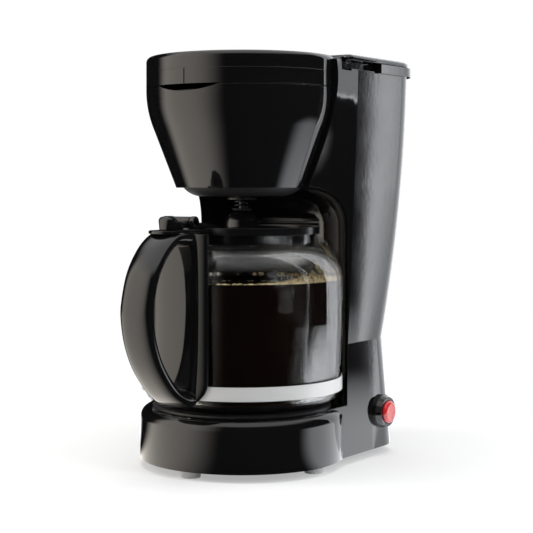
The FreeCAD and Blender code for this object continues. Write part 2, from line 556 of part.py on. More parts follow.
door = body("basket_door")
turn(door, "front_skin", forward(head_skin("0", "skin", "door_top_z")), "YZ_Plane", "2 * door_half_angle")
SCOOP_R = "((scoop_half_w^2 + scoop_depth^2) / (2 * scoop_depth))"
pad(door, "finger_scoop", [(SCOOP_R, "0", f"door_top_z - scoop_depth + {SCOOP_R}")],
    "0", "rim_r + skin", "XZ_Plane", cut=True)
pad(door, "lug_way", [("hinge_barrel_r + run_gap", HINGE_X, HINGE_Y)], "hinge_low_z - run_gap", "hinge_mid_z + pin_fit",
    cut=True)
pad(door, "barrel", [("hinge_barrel_r", HINGE_X, HINGE_Y)], "hinge_mid_z + pin_fit", "door_top_z")
pad(door, "barrel_hole", [("hinge_pin_r + pin_fit", HINGE_X, HINGE_Y)],
    "hinge_mid_z - seam", "door_top_z + seam", cut=True)

cup = body("brew_cup")
CUP_INSET = "(skin + run_gap)"
cup_out = head_side(CUP_INSET)[:2]
cup_in = head_side(f"{CUP_INSET} + cup_wall")[:2]
CUP_FLOOR_Z = "(cone_low_z + cup_wall)"
turn(cup, "funnel", [("drain_r", "bowl_low_z"), ("bowl_low_r", "bowl_low_z", "bowl_r - bowl_low_r"),
                     ("bowl_r", "cone_low_z - pin_fit"), (cup_out[0][0], "cone_low_z - pin_fit"),
                     cup_out[1][:2], (cup_out[1][0], "cup_top_z"),
                     (cup_in[1][0], "cup_top_z"), cup_in[1][:2],
                     (f"{cup_in[0][0]} + {CONE_SLOPE} * cup_wall", CUP_FLOOR_Z),
                     ("bowl_low_r", CUP_FLOOR_Z), ("drain_r", "bowl_low_z + cup_wall")])

filter_cup = body("filter_basket")
FILTER_INSET = f"{CUP_INSET} + cup_wall + filter_gap"
filter_r = f"(cone_low_r - ({FILTER_INSET}) + {CONE_SLOPE} * (filter_low_z - cone_low_z))"
filter_top_r = f"(cone_high_r - ({FILTER_INSET}))"
turn(filter_cup, "filter_wall", [("0", "filter_low_z"), (filter_r, "filter_low_z"), (filter_top_r, "cone_high_z"),
                                 (filter_top_r, "cup_top_z"),
                                 (f"cone_high_r - {CUP_INSET}", "cup_top_z"),
                                 (f"cone_high_r - {CUP_INSET}", "cup_top_z + filter_flange"),
                                 (f"{filter_top_r} - filter_wall", "cup_top_z + filter_flange"),
                                 (f"{filter_top_r} - filter_wall", "cone_high_z"),
                                 (f"{filter_r} - filter_wall", "filter_low_z + filter_wall"),
                                 ("0", "filter_low_z + filter_wall")])
drip_hole = pad(filter_cup, "drip_hole", [("filter_hole_r", "filter_hole_ring_r")], "filter_low_z - filter_wall",
                "filter_low_z + 2 * filter_wall", cut=True)
drip_ring = filter_cup.newObject("PartDesign::PolarPattern", "drip_hole_ring")
drip_ring.Originals = [drip_hole]
drip_ring.Axis = (drip_hole.Profile[0], ["N_Axis"])
drip_ring.Angle = 360
set_size(drip_ring, "Occurrences", "filter_holes")
filter_cup.Tip = drip_ring

# Drip stop under the basket: seat, plunger and spring
seat = body("valve_seat")
turn(seat, "seat_ring", [("stem_r + stem_fit", "seat_low_z"), ("seat_flange_r", "seat_low_z"),
                         ("seat_flange_r", "seat_low_z + seat_flange"), ("seat_r", "seat_low_z + seat_flange"),
                         ("seat_r", "bowl_low_z"), ("stem_r + stem_fit", "bowl_low_z")])
BUTTON_TOP_Z = "(button_low_z + button)"
plunger = body("valve_plunger")
turn(plunger, "stem", [("0", "button_low_z"), ("button_r - button", "button_low_z", "button"),
                       ("button_r", BUTTON_TOP_Z), ("stem_r", BUTTON_TOP_Z), ("stem_r", "bowl_low_z + stop_gap"),
                       ("stop_r", "bowl_low_z + stop_gap"), ("stop_r", "bowl_low_z + stop_gap + button"),
                       ("0", "bowl_low_z + stop_gap + button")])


def tangent_arcs(start, along, end, out):
    """Two arcs that leave one point along a direction and reach another along its own."""
    way = end - start
    both = along + out
    a = 2 * (1 - along.dot(out))
    b = 2 * way.dot(both)
    step = (-b + math.sqrt(b * b + 4 * a * way.dot(way))) / (2 * a)
    middle = (start + along * step + end - out * step) * 0.5
    arcs = []
    for tip, heading, other in ((start, along, middle), (end, out * -1, middle)):
        chord = other - tip
        side = (chord - heading * chord.dot(heading)).normalize()
        centre = tip + side * (chord.dot(chord) / (2 * chord.dot(side)))
        bulge = ((tip - centre) + (other - centre)).normalize() * (tip - centre).Length
        arcs.append(Part.Arc(tip, centre + bulge, other).toShape())
    return arcs


def coil(radius, low, rise, turns, wire):
    """A helical spring as one tube of quarter-turn pairs of arcs."""
    def spot(quarter):
        angle = quarter * math.pi / 2
        return Vector(radius * math.cos(angle), radius * math.sin(angle), low + rise * quarter / (4 * turns))

    def heading(quarter):
        angle = quarter * math.pi / 2
        return Vector(-radius * math.sin(angle), radius * math.cos(angle), rise / (2 * math.pi * turns)).normalize()

    edges = []
    for quarter in range(round(4 * turns)):
        edges += tangent_arcs(spot(quarter), heading(quarter), spot(quarter + 1), heading(quarter + 1))
    section = Part.Wire(Part.Circle(spot(0), heading(0), wire).toShape())
    return Part.Wire(Part.__sortEdges__(edges)).makePipeShell([section], True, False)


spring = doc.addObject("Part::Feature", "valve_spring")
spring.Label = "valve_spring"
wire_r = value("spring_wire_r")
spring_low = value(f"{BUTTON_TOP_Z} + pin_fit") + wire_r
spring_rise = value("seat_low_z - pin_fit") - wire_r - spring_low
spring.Shape = coil(value("spring_r"), spring_low, spring_rise, value("spring_turns"), wire_r)
print("spring: least gap between turns, mm:", round(spring_rise / value("spring_turns") - 2 * wire_r, 2))

# Lid of the water tank, on two pins beside the head
LID_LOW_Z = "(crown_z + lid_gap)"
LID_HIGH_Z = f"({LID_LOW_Z} + lid_thick)"


def lid_plan(inset):
    return rear_outline(f"crown_half_w + lid_over - ({inset})", f"lid_front_y + {inset} / 2",
                        f"crown_back_y + lid_over - ({inset})", f"corner_r + lid_over - ({inset})")


lid = body("reservoir_lid")
pad(lid, "lid_plate", [lid_plan("0")], LID_LOW_Z, LID_HIGH_Z)
loft(lid, "lid_top", [(LID_HIGH_Z, lid_plan("0")), (f"{LID_HIGH_Z} + lid_crown", lid_plan("lid_bevel"))])
for side, (low_x, high_x) in {"right": ("knuckle_low_x", "knuckle_high_x"),
                              "left": ("-knuckle_high_x", "-knuckle_low_x")}.items():
    pad(lid, f"knuckle_{side}", [("knuckle_r", "lid_axis_y", "lid_axis_z")], low_x, high_x, "YZ_Plane")
    pad(lid, f"arm_{side}", [box("lid_axis_y", "lid_front_y + lid_thick", "lid_axis_z", LID_HIGH_Z)], low_x, high_x,
        "YZ_Plane")
pad(lid, "lid_hinge_hole", [("lid_pin_r + pin_fit", "lid_axis_y", "lid_axis_z")], "-knuckle_high_x - knuckle_gap",
    "knuckle_high_x + knuckle_gap", "YZ_Plane", cut=True)
LID_PIN_LENGTH = "knuckle_high_x - knuckle_gap - lid_pin_low_x"
lid_pins = [cylinder("lid_pin_right", "lid_pin_r", LID_PIN_LENGTH, "lid_pin_low_x", "lid_axis_y", "lid_axis_z", "X"),
            cylinder("lid_pin_left", "lid_pin_r", LID_PIN_LENGTH, "knuckle_gap - knuckle_high_x", "lid_axis_y",
                     "lid_axis_z", "X")]

# Carafe: glass jug, collar, steel band
glass = body("carafe_glass")
GLASS_LOW_R = "(glass_r - glass_taper)"
GLASS_FOOT_R = f"({GLASS_LOW_R} - glass_foot_round)"
SHOULDER_X = "(glass_r - shoulder_round)"
NECK_Z = f"(glass_side_z + sqrt(shoulder_round^2 - (neck_r - {SHOULDER_X})^2))"
INNER_ROUND = "(shoulder_round - glass_wall)"
NECK_IN_Z = f"(glass_side_z + sqrt({INNER_ROUND}^2 - (neck_r - glass_wall - {SHOULDER_X})^2))"
turn(glass, "jug", [("0", "glass_low_z"), (GLASS_FOOT_R, "glass_low_z", "glass_foot_round"),
                    (GLASS_LOW_R, "glass_low_side_z"), ("glass_r", "glass_belly_z"),
                    ("glass_r", "glass_side_z", "shoulder_round"), ("neck_r", NECK_Z), ("neck_r", "glass_top_z"),
                    ("neck_r - glass_wall", "glass_top_z"), ("neck_r - glass_wall", NECK_IN_Z, f"-{INNER_ROUND}"),
                    ("glass_r - glass_wall", "glass_side_z"), ("glass_r - glass_wall", "glass_belly_z"),
                    (f"{GLASS_LOW_R} - glass_wall", "glass_low_side_z", "-(glass_foot_round - glass_wall)"),
                    (GLASS_FOOT_R, "glass_low_z + glass_wall"), ("0", "glass_low_z + glass_wall")])

collar = body("carafe_collar")
SKIRT_R = "(neck_r - glass_wall - collar_fit)"
turn(collar, "collar_ring", [(f"{SKIRT_R} - collar_wall", "glass_top_z - collar_skirt"),
                             (SKIRT_R, "glass_top_z - collar_skirt"), (SKIRT_R, "glass_top_z"),
                             ("collar_r", "glass_top_z"), ("collar_r", "collar_top_z"),
                             (f"{SKIRT_R} - collar_wall", "collar_top_z")])

steel = body("carafe_band")
BAND_RISE = "(band_high_z - glass_low_side_z) / (glass_belly_z - glass_low_side_z)"
BAND_R = f"({GLASS_LOW_R} + glass_taper * {BAND_RISE} + band_fit)"
turn(steel, "steel_ring", [(BAND_R, "band_low_z"), (f"{BAND_R} + band_thick", "band_low_z"),
                           (f"{BAND_R} + band_thick", "band_high_z"), (BAND_R, "band_high_z")])

# Handle: plate against the glass, bridge to the collar, hinge ears and the grip
handle = body("carafe_handle")
PLATE_R = "(glass_r + plate_fit)"
turn(handle, "plate", [(f"-{PLATE_R}", "plate_low_z"), (f"-({PLATE_R} + plate_thick)", "plate_low_z"),
                       (f"-({PLATE_R} + plate_thick)", "plate_high_z"), (f"-{PLATE_R}", "plate_high_z")],
     "YZ_Plane", f"2 * asin(plate_half_w / ({PLATE_R} + plate_thick))")
EAR_X = "(lid_arm_half_w + ear_gap)"
PLATE_MID_Y = f"-({PLATE_R} + plate_thick / 2)"
pad(handle, "bridge", [box(f"-({EAR_X} + ear)", f"{EAR_X} + ear", PLATE_MID_Y, "-(collar_r + collar_fit)")],
    "bridge_low_z", "bridge_high_z")
EAR = [("lid_hinge_y - ear_half", "bridge_low_z"), ("lid_hinge_y + ear_half", "bridge_low_z"),
       ("lid_hinge_y + ear_half", "lid_hinge_z + ear_half / 2"), ("lid_hinge_y + ear_half / 2", "lid_hinge_z + ear_half"),
       ("lid_hinge_y - ear_half / 2", "lid_hinge_z + ear_half"), ("lid_hinge_y - ear_half", "lid_hinge_z + ear_half / 2")]
pad(handle, "ear_right", [EAR], EAR_X, f"{EAR_X} + ear", "YZ_Plane")
pad(handle, "ear_left", [EAR], f"-({EAR_X} + ear)", f"-{EAR_X}", "YZ_Plane")
pad(handle, "ear_hole", [("lid_hinge_pin_r + pin_fit", "lid_hinge_y", "lid_hinge_z")], f"-({EAR_X} + 2 * ear)",
    f"{EAR_X} + 2 * ear", "YZ_Plane", cut=True)
for half, radius, turn_way in (("upper", "grip_high_r", -1), ("lower", "grip_low_r", 1)):
    bow = sketch(handle, f"{half}_bow", "YZ_Plane")
    end_y = f"({radius} - grip_reach)"
    end_z = f"grip_mid_z - {turn_way} * sqrt({radius}^2 - ({PLATE_MID_Y} - {end_y})^2)"
    outline(bow, [("-grip_reach", "grip_mid_z", f"{turn_way} * {radius}"), (PLATE_MID_Y, end_z)], closed=False)
    grip = sketch(handle, f"{half}_section", "XY_Plane", "grip_mid_z")
    side, out, back = "grip_half_w", "-grip_reach - grip_half_t", "-grip_reach + grip_half_t"
    outline(grip, [(f"grip_edge - {side}", out), (f"{side} - grip_edge", out, "grip_edge"),
                   (side, f"{out} + grip_edge"), (side, f"{back} - grip_edge", "grip_edge"),
                   (f"{side} - grip_edge", back), (f"grip_edge - {side}", back, "grip_edge"),
                   (f"-{side}", f"{back} - grip_edge"), (f"-{side}", f"{out} + grip_edge", "grip_edge")])
    pipe(handle, f"{half}_grip", bow, grip)

# Carafe's own lid: disc, pour-in dome, arm and thumb lever in one moulding
jug_lid = body("carafe_lid")
LID_DISC_R = f"({SKIRT_R} - collar_wall - lid_disc_gap)"
LID_DISC_TOP_Z = "(lid_disc_low_z + lid_disc)"
turn(jug_lid, "lid_disc_and_dome", [
    ("dome_hole_r", "dome_top_z - dome_wall"), ("dome_hole_r", "dome_top_z"), ("dome_top_r", "dome_top_z"),
    ("dome_r", LID_DISC_TOP_Z), (LID_DISC_R, LID_DISC_TOP_Z), (LID_DISC_R, "lid_disc_low_z"),
    ("dome_r - dome_wall", "lid_disc_low_z"), ("dome_top_r - dome_wall / 2", "dome_top_z - dome_wall")])
ARM_CLEAR_Z = "collar_top_z + ear_gap"
pad(jug_lid, "arm_and_lever", [[
    ("lever_y", "lever_low_z"), (f"{PLATE_MID_Y} + ear_half", "lever_low_z"), ("-collar_r - ear", ARM_CLEAR_Z),
    (f"-{LID_DISC_R}", ARM_CLEAR_Z), ("lid_arm_start_y", "lid_disc_low_z"), ("lid_arm_start_y", "collar_top_z"),
    ("-collar_r", "lid_hinge_z"), ("lid_hinge_y - ear_half", "lid_hinge_z + ear_half / 2"),
    ("lever_y + ear", "lever_top_z"), ("lever_y", "lever_top_z")]],
    "-lid_arm_half_w", "lid_arm_half_w", "YZ_Plane")
pad(jug_lid, "lid_pin_way", [("lid_hinge_pin_r + pin_fit", "lid_hinge_y", "lid_hinge_z")], "-lid_arm_half_w - ear",
    "lid_arm_half_w + ear", "YZ_Plane", cut=True)
jug_pin = cylinder("carafe_lid_pin", "lid_hinge_pin_r", f"2 * ({EAR_X} + ear)", f"-({EAR_X} + ear)", "lid_hinge_y",
                   "lid_hinge_z", "X")

NODES = [base, floor_plate, *feet, hot_plate, heater, bracket, thermostat, fuse, inlet_hose, riser_tube, check_valve,
         spray, switch_body, bezel, button, gland, tower, head, band, cap, hinge_pin, door, cup, filter_cup, seat,
         plunger, spring, lid, *lid_pins, glass, collar, steel, handle, jug_lid, jug_pin]

doc.recompute()
for thing in doc.Objects:
    if "Invalid" in thing.State or "Error" in thing.State:
        raise RuntimeError(f"{thing.Label} failed: {thing.State}")
for node in NODES:
    if node.Shape.isNull() or not node.Shape.isValid() or not node.Shape.Solids:
        raise RuntimeError(f"{node.Label} has no valid solid")

os.makedirs("parts", exist_ok=True)
for node in NODES:
    node.Shape.exportStep(f"parts/{node.Label}.step")
    print(node.Label, round(node.Shape.Volume / 1000, 2), "cm3")
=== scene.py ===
import math
import random

import bmesh
import bpy
from bpy.props import FloatProperty, FloatVectorProperty, IntProperty, PointerProperty
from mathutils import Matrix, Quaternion, Vector


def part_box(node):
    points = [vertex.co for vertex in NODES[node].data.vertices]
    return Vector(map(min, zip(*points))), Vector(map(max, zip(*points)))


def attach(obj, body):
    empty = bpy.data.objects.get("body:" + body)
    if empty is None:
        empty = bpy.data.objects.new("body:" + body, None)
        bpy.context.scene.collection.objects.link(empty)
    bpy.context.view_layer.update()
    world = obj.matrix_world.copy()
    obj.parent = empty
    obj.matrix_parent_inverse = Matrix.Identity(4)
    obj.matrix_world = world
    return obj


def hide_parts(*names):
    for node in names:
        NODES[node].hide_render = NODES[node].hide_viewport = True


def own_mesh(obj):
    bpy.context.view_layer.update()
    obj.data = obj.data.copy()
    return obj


bl_info = {
    "name": "Drip coffee maker",
    "version": (1, 0, 0),
    "blender": (4, 5, 0),
    "location": "View3D > Sidebar > Coffee maker",
    "description": "Dresses the packed coffee maker: finishes, lids, handle, coffee, spring and studio",
    "category": "Object",
}

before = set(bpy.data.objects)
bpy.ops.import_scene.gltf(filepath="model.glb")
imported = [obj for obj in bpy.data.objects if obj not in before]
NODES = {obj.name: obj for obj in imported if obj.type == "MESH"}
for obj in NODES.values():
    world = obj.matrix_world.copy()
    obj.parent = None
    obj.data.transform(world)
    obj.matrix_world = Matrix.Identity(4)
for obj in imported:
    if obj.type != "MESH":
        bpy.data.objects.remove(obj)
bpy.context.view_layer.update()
PHOTO_SIDE = 533
SENSOR = 36.0
MM = 0.001
JUG_HINGE_Y = -74.0 * MM
JUG_HINGE_Z = 183.5 * MM


class StageSizes(bpy.types.PropertyGroup):
    """Camera and floor."""

    camera: FloatVectorProperty(
        name="Camera", description="Where the camera stands", size=3, subtype="XYZ",
        unit="LENGTH", default=(0.602, -0.859, 0.209))
    focal_pixels: FloatProperty(
        name="Focal length", description="Focal length in pixels of a square picture",
        default=1391.0)
    centre: FloatVectorProperty(
        name="Principal point", description="Where the lens axis meets the square picture, in pixels",
        size=2, default=(242.0, 185.0))
    floor_half: FloatProperty(
        name="Floor half width", description="Half the side of the floor", default=4.0,
        subtype="DISTANCE", unit="LENGTH")
    shadow_reach: FloatProperty(
        name="Shadow reach", description="Radius inside which the floor shows the shadow",
        default=0.42, subtype="DISTANCE", unit="LENGTH")
    floor_lit: FloatProperty(
        name="Floor shade", description="How much of the shadow the floor shows near the machine",
        default=0.62, subtype="FACTOR")


class FinishColours(bpy.types.PropertyGroup):
    """Colours of the finishes."""

    black: FloatVectorProperty(
        name="Gloss black", description="Moulded housings", size=3, subtype="COLOR",
        default=(0.0028, 0.0028, 0.003))
    matte: FloatVectorProperty(
        name="Matte black", description="Inner mouldings", size=3, subtype="COLOR",
        default=(0.014, 0.014, 0.015))
    rubber: FloatVectorProperty(
        name="Foot rubber", description="Feet", size=3, subtype="COLOR", default=(0.42, 0.42, 0.41))
    red: FloatVectorProperty(
        name="Button red", description="Translucent cap of the switch", size=3, subtype="COLOR",
        default=(0.62, 0.022, 0.024))
    steel: FloatVectorProperty(
        name="Steel", description="Pins and bracket", size=3, subtype="COLOR", default=(0.72, 0.71, 0.69))
    band: FloatVectorProperty(
        name="Band steel", description="Band round the jug", size=3, subtype="COLOR",
        default=(0.68, 0.68, 0.675))
    dark_steel: FloatVectorProperty(
        name="Oiled steel", description="Spring of the drip stop", size=3, subtype="COLOR",
        default=(0.11, 0.11, 0.11))
    aluminium: FloatVectorProperty(
        name="Aluminium", description="Cast heater", size=3, subtype="COLOR", default=(0.62, 0.63, 0.64))
    plate: FloatVectorProperty(
        name="Plate coating", description="Non-stick coat of the warming plate", size=3, subtype="COLOR",
        default=(0.012, 0.012, 0.013))
    silicone: FloatVectorProperty(
        name="Silicone", description="Hoses", size=3, subtype="COLOR", default=(0.78, 0.79, 0.77))
    coffee: FloatVectorProperty(
        name="Coffee", description="Brewed coffee", size=3, subtype="COLOR", default=(0.0035, 0.0018, 0.0012))
    foam: FloatVectorProperty(
        name="Foam", description="Foam along the rim of the coffee", size=3, subtype="COLOR",
        default=(0.66, 0.52, 0.29))


class CoffeeSizes(bpy.types.PropertyGroup):
    """The brewed coffee in the jug."""

    level: FloatProperty(
        name="Level", description="Height of the coffee above the table", default=0.1372,
        subtype="DISTANCE", unit="LENGTH")
    wall_gap: FloatProperty(
        name="Gap to the glass", description="Clear space between coffee and glass", default=0.00025,
        subtype="DISTANCE", unit="LENGTH")
    meniscus: FloatProperty(
        name="Meniscus", description="How far the coffee climbs the glass", default=0.0016,
        subtype="DISTANCE", unit="LENGTH")
    bubbles: IntProperty(name="Bubbles", description="Foam bubbles along the rim", default=1700)


class HandleSizes(bpy.types.PropertyGroup):
    """The jug's handle."""

    half_width: FloatProperty(
        name="Half width", description="Half the width of the grip", default=0.0135,
        subtype="DISTANCE", unit="LENGTH")
    half_thick: FloatProperty(
        name="Half thickness", description="Half the thickness of the grip", default=0.0052,
        subtype="DISTANCE", unit="LENGTH")
    root: FloatProperty(
        name="Root half width", description="Half the width of the grip where it meets the plate",
        default=0.0165, subtype="DISTANCE", unit="LENGTH")
    plate_half: FloatProperty(
        name="Plate half width", description="Half the width of the back plate", default=0.0245,
        subtype="DISTANCE", unit="LENGTH")
    plate_inner: FloatProperty(
        name="Plate inner radius", description="Radius of the plate's face against the glass", default=0.0764,
        subtype="DISTANCE", unit="LENGTH")
    plate_outer: FloatProperty(
        name="Plate outer radius", description="Radius of the plate's outer face", default=0.0816,
        subtype="DISTANCE", unit="LENGTH")
    plate_corner: FloatProperty(
        name="Plate corner", description="Radius of the plate's lower corners", default=0.018,
        subtype="DISTANCE", unit="LENGTH")


class CoffeeMakerSettings(bpy.types.PropertyGroup):
    """All settings of the dressed coffee maker."""

    stage: PointerProperty(type=StageSizes)
    colours: PointerProperty(type=FinishColours)
    coffee: PointerProperty(type=CoffeeSizes)
    handle: PointerProperty(type=HandleSizes)


def settings():
    """The settings of the current scene."""
    return bpy.context.scene.coffee_maker


class Wire:
    """One socket of a shader tree, used in plain arithmetic."""

    def __init__(self, tree, socket=None):
        self.tree = tree
        self.socket = socket

    def node(self, kind, fixed=None, inputs=None, out=0):
        """Adds a node: its settings first, then the values or links of its sockets."""
        made = self.tree.nodes.new(kind)
        for name, given in (fixed or {}).items():
            setattr(made, name, given)
        for name, given in (inputs or {}).items():
            socket = made.inputs[name]
            if isinstance(given, Wire):
                self.tree.links.new(given.socket, socket)
            elif socket.type == "RGBA":
                socket.default_value = (*given, 1.0)
            else:
                socket.default_value = given
        return Wire(self.tree, made.outputs[out] if made.outputs else None)

    def math(self, operation, *values):
        return self.node("ShaderNodeMath", {"operation": operation}, dict(enumerate(values)))

    def vector(self, operation, *values, out=0):
        """Vector maths; the second output is the one that gives a plain number."""
        return self.node("ShaderNodeVectorMath", {"operation": operation}, dict(enumerate(values)), out)

    def __add__(self, other):
        return self.math("ADD", self, other)

    def __sub__(self, other):
        return self.math("SUBTRACT", self, other)

    def __rsub__(self, other):
        return self.math("SUBTRACT", other, self)

    def __mul__(self, other):
        return self.math("MULTIPLY", self, other)

    __radd__ = __add__
    __rmul__ = __mul__

    def step(self, low, high):
        """Smooth rise from 0 at low to 1 at high."""
        return self.node("ShaderNodeMapRange", {"interpolation_type": "SMOOTHSTEP"},
                         {"Value": self, "From Min": low, "From Max": high})

    def mix(self, first, second):
        """First colour where this is 0, second where it is 1."""
        return self.node("ShaderNodeMix", {"data_type": "RGBA"}, {0: self, 6: first, 7: second}, out=2)

    def noise(self, place, scale, detail=3.0, roughness=0.5):
        return self.node("ShaderNodeTexNoise", None, {
            "Vector": place, "Scale": scale, "Detail": detail, "Roughness": roughness})


def new_finish(name):
    """A bare material: the material, a wire to build with and the place on the object."""
    made = bpy.data.materials.new(name)
    made.use_nodes = True
    made.node_tree.nodes.clear()
    wire = Wire(made.node_tree)
    place = wire.node("ShaderNodeTexCoord", out=3)
    return made, wire, place


def close_finish(wire, shader):
    wire.node("ShaderNodeOutputMaterial", None, {"Surface": shader})


def plastic(name, colour, rough, spread, grain, grain_scale, edge=0.0005):
    """Moulded plastic: faint colour drift, uneven gloss, fine grain and softened moulded edges."""
    made, wire, place = new_finish(name)
    drift = wire.noise(place, 9.0, 4.0)
    haze = wire.noise(place, 38.0, 5.0, 0.6)
    dust = wire.noise(place, 1400.0, 1.0).step(0.72, 0.80)
    corner = wire.node("ShaderNodeBevel", {"samples": 4}, {"Radius": edge})
    flat = wire.node("ShaderNodeNewGeometry", out=1)
    # Paler colour along the rounded edges, where the bevel turns the normal away from the flat face.
    edge_turn = 1 - wire.vector("DOT_PRODUCT", corner, flat, out=1)
    paler = [min(1.0, c * 1.5 + 0.001) for c in colour]
    edge_pale = [min(1.0, c * 2.0 + 0.006) for c in colour]
    base = (drift * 0.5).mix(colour, paler)
    base = edge_turn.step(0.03, 0.3).mix(base, edge_pale)
    bump = wire.node("ShaderNodeBump", None, {
        "Strength": 1.0, "Distance": grain, "Height": wire.noise(place, grain_scale, 2.0), "Normal": corner})
    shader = wire.node("ShaderNodeBsdfPrincipled", None, {
        "Base Color": base,
        "Roughness": haze * spread + dust * 0.12 + rough,
        "Normal": bump,
        "IOR": 1.5})
    close_finish(wire, shader)
    return made


def metal(name, colour, rough, streaks, edge=0.0003, mirror=1.0):
    """Metal with fine lines, as fine along X, Y and Z as streaks says, smudged gloss and soft edges."""
    made, wire, place = new_finish(name)
    drawn = wire.node("ShaderNodeMapping", None, {"Vector": place, "Scale": streaks})
    lines = wire.noise(drawn, 1.0, 3.0, 0.7)
    smudge = wire.noise(place, 45.0, 4.0)
    corner = wire.node("ShaderNodeBevel", {"samples": 4}, {"Radius": edge})
    darker = [c * 0.72 for c in colour]
    bump = wire.node("ShaderNodeBump", None, {
        "Strength": 1.0, "Distance": 0.00001, "Height": lines, "Normal": corner})
    shader = wire.node("ShaderNodeBsdfPrincipled", None, {
        "Base Color": (lines * 0.5 + smudge * 0.3).mix(colour, darker),
        "Roughness": lines * 0.12 + smudge * 0.12 + rough,
        "Metallic": mirror,
        "Normal": bump})
    close_finish(wire, shader)
    return made


def glass_finish(name):
    """Clear blown glass with faint waviness."""
    made, wire, place = new_finish(name)
    wave = wire.noise(place, 26.0, 2.0)
    bump = wire.node("ShaderNodeBump", None, {"Strength": 1.0, "Distance": 0.000012, "Height": wave})
    shader = wire.node("ShaderNodeBsdfPrincipled", None, {
        "Base Color": (0.965, 0.98, 0.975),
        "Roughness": 0.0,
        "IOR": 1.47,
        "Transmission Weight": 1.0,
        "Alpha": 0.38,
        "Normal": bump})
    close_finish(wire, shader)
    return made


def coated_plate(name, colour):
    """Dark non-stick coat with pale flecks and fine pebbling."""
    made, wire, place = new_finish(name)
    flecks = wire.noise(place, 900.0, 1.0).step(0.66, 0.72)
    pebble = wire.noise(place, 520.0, 2.0)
    bump = wire.node("ShaderNodeBump", None, {"Strength": 1.0, "Distance": 0.00006, "Height": pebble})
    shader = wire.node("ShaderNodeBsdfPrincipled", None, {
        "Base Color": (flecks * 0.5).mix(colour, (0.16, 0.16, 0.16)),
        "Roughness": pebble * 0.2 + 0.32,
        "Normal": bump})
    close_finish(wire, shader)
    return made


def red_finish(name, colour):
    """Red translucent cap, faintly cloudy and glossy."""
    made, wire, place = new_finish(name)
    cloud = wire.noise(place, 160.0, 2.0)
    corner = wire.node("ShaderNodeBevel", {"samples": 4}, {"Radius": 0.0008})
    deeper = [c * 0.6 for c in colour]
    bump = wire.node("ShaderNodeBump", None, {
        "Strength": 1.0, "Distance": 0.00003, "Height": cloud, "Normal": corner})
    shader = wire.node("ShaderNodeBsdfPrincipled", None, {
        "Base Color": (cloud * 0.7).mix(colour, deeper),
        "Roughness": cloud * 0.1 + 0.1,
        "Subsurface Weight": 0.25,
        "Subsurface Scale": 0.002,
        "Coat Weight": 0.4,
        "Normal": bump})
    close_finish(wire, shader)
    return made


def silicone_finish(name, colour):
    """Milky silicone hose with a matt skin."""
    made, wire, place = new_finish(name)
    cloud = wire.noise(place, 90.0, 3.0)
    skin = wire.noise(place, 700.0, 2.0)
    bump = wire.node("ShaderNodeBump", None, {"Strength": 1.0, "Distance": 0.00003, "Height": skin})
    shader = wire.node("ShaderNodeBsdfPrincipled", None, {
        "Base Color": cloud.mix(colour, [c * 0.82 for c in colour]),
        "Roughness": skin * 0.2 + 0.35,
        "Subsurface Weight": 0.3,
        "Subsurface Scale": 0.003,
        "Normal": bump})
    close_finish(wire, shader)
    return made


def coffee_finish(name, colour):
    """Dark coffee, faintly cloudy and mirror-smooth."""
    made, wire, place = new_finish(name)
    cloud = wire.noise(place, 30.0, 3.0)
    shader = wire.node("ShaderNodeBsdfPrincipled", None, {
        "Base Color": cloud.mix(colour, [c * 1.8 for c in colour]),
        "Roughness": cloud * 0.04 + 0.03,
        "Specular IOR Level": 0.12,
        "IOR": 1.34})
    close_finish(wire, shader)
    return made


def foam_finish(name, colour):
    """Golden bubbles: painted shade darkens the gaps and the crowns stay lit, where a faint painted glow
    stands for the light that the glass lets in.
    """
    made, wire, place = new_finish(name)
    patch = wire.noise(place, 560.0, 2.0)
    painted_crown_light = patch.step(0.4, 0.6)
    shader = wire.node("ShaderNodeBsdfPrincipled", None, {
        # Painted shade: between the crowns the foam colour is darkened to 12 %.
        "Base Color": painted_crown_light.mix([c * 0.12 for c in colour], colour),
        "Roughness": patch * 0.2 + 0.12,
        # Painted glow on the crowns, standing for the light let in through the glass.
        "Emission Color": painted_crown_light.mix((0.0, 0.0, 0.0), colour),
        "Emission Strength": 0.2,
        "Subsurface Weight": 0.2,
        "Subsurface Scale": 0.001})
    close_finish(wire, shader)
    return made


FINISHES = {}

NODE_FINISH = {
    "gloss_black": ["base_housing", "tower_shell", "head_shell", "head_band", "head_cap", "basket_door",
                    "reservoir_lid", "switch_bezel", "carafe_handle"],
    "satin_black": ["carafe_collar", "carafe_lid", "cord_gland"],
    "matte_black": ["base_plate", "brew_cup", "filter_basket", "spray_head", "switch_body", "thermostat",
                    "thermal_fuse"],
    "foot_rubber": ["foot_front", "foot_right", "foot_left", "foot_rear_right", "foot_rear_left"],
    "plate_coat": ["warming_plate"],
    "cast_aluminium": ["heater_element"],
    "bright_steel": ["carafe_band"],
    "plain_steel": ["heater_bracket", "basket_hinge_pin", "lid_pin_right", "lid_pin_left", "carafe_lid_pin",
                    "valve_spring"],
    "silicone": ["inlet_hose", "riser_tube", "check_valve"],
    "dark_rubber": ["valve_seat", "valve_plunger"],
    "button_red": ["power_button"],
    "jug_glass": ["carafe_glass"],
}


def paint(node, finish):
    """Gives a carried-over node its finish."""
    mesh = NODES[node].data
    mesh.materials.clear()
    mesh.materials.append(FINISHES[finish])
    mesh.polygons.foreach_set("material_index", [0] * len(mesh.polygons))


def put(name, mesh, body, finish):
    """Links a mesh as a piece that rides on a body."""
    piece = bpy.data.objects.new(name, mesh)
    bpy.context.scene.collection.objects.link(piece)
    mesh.materials.append(FINISHES[finish])
    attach(piece, body)
    return piece


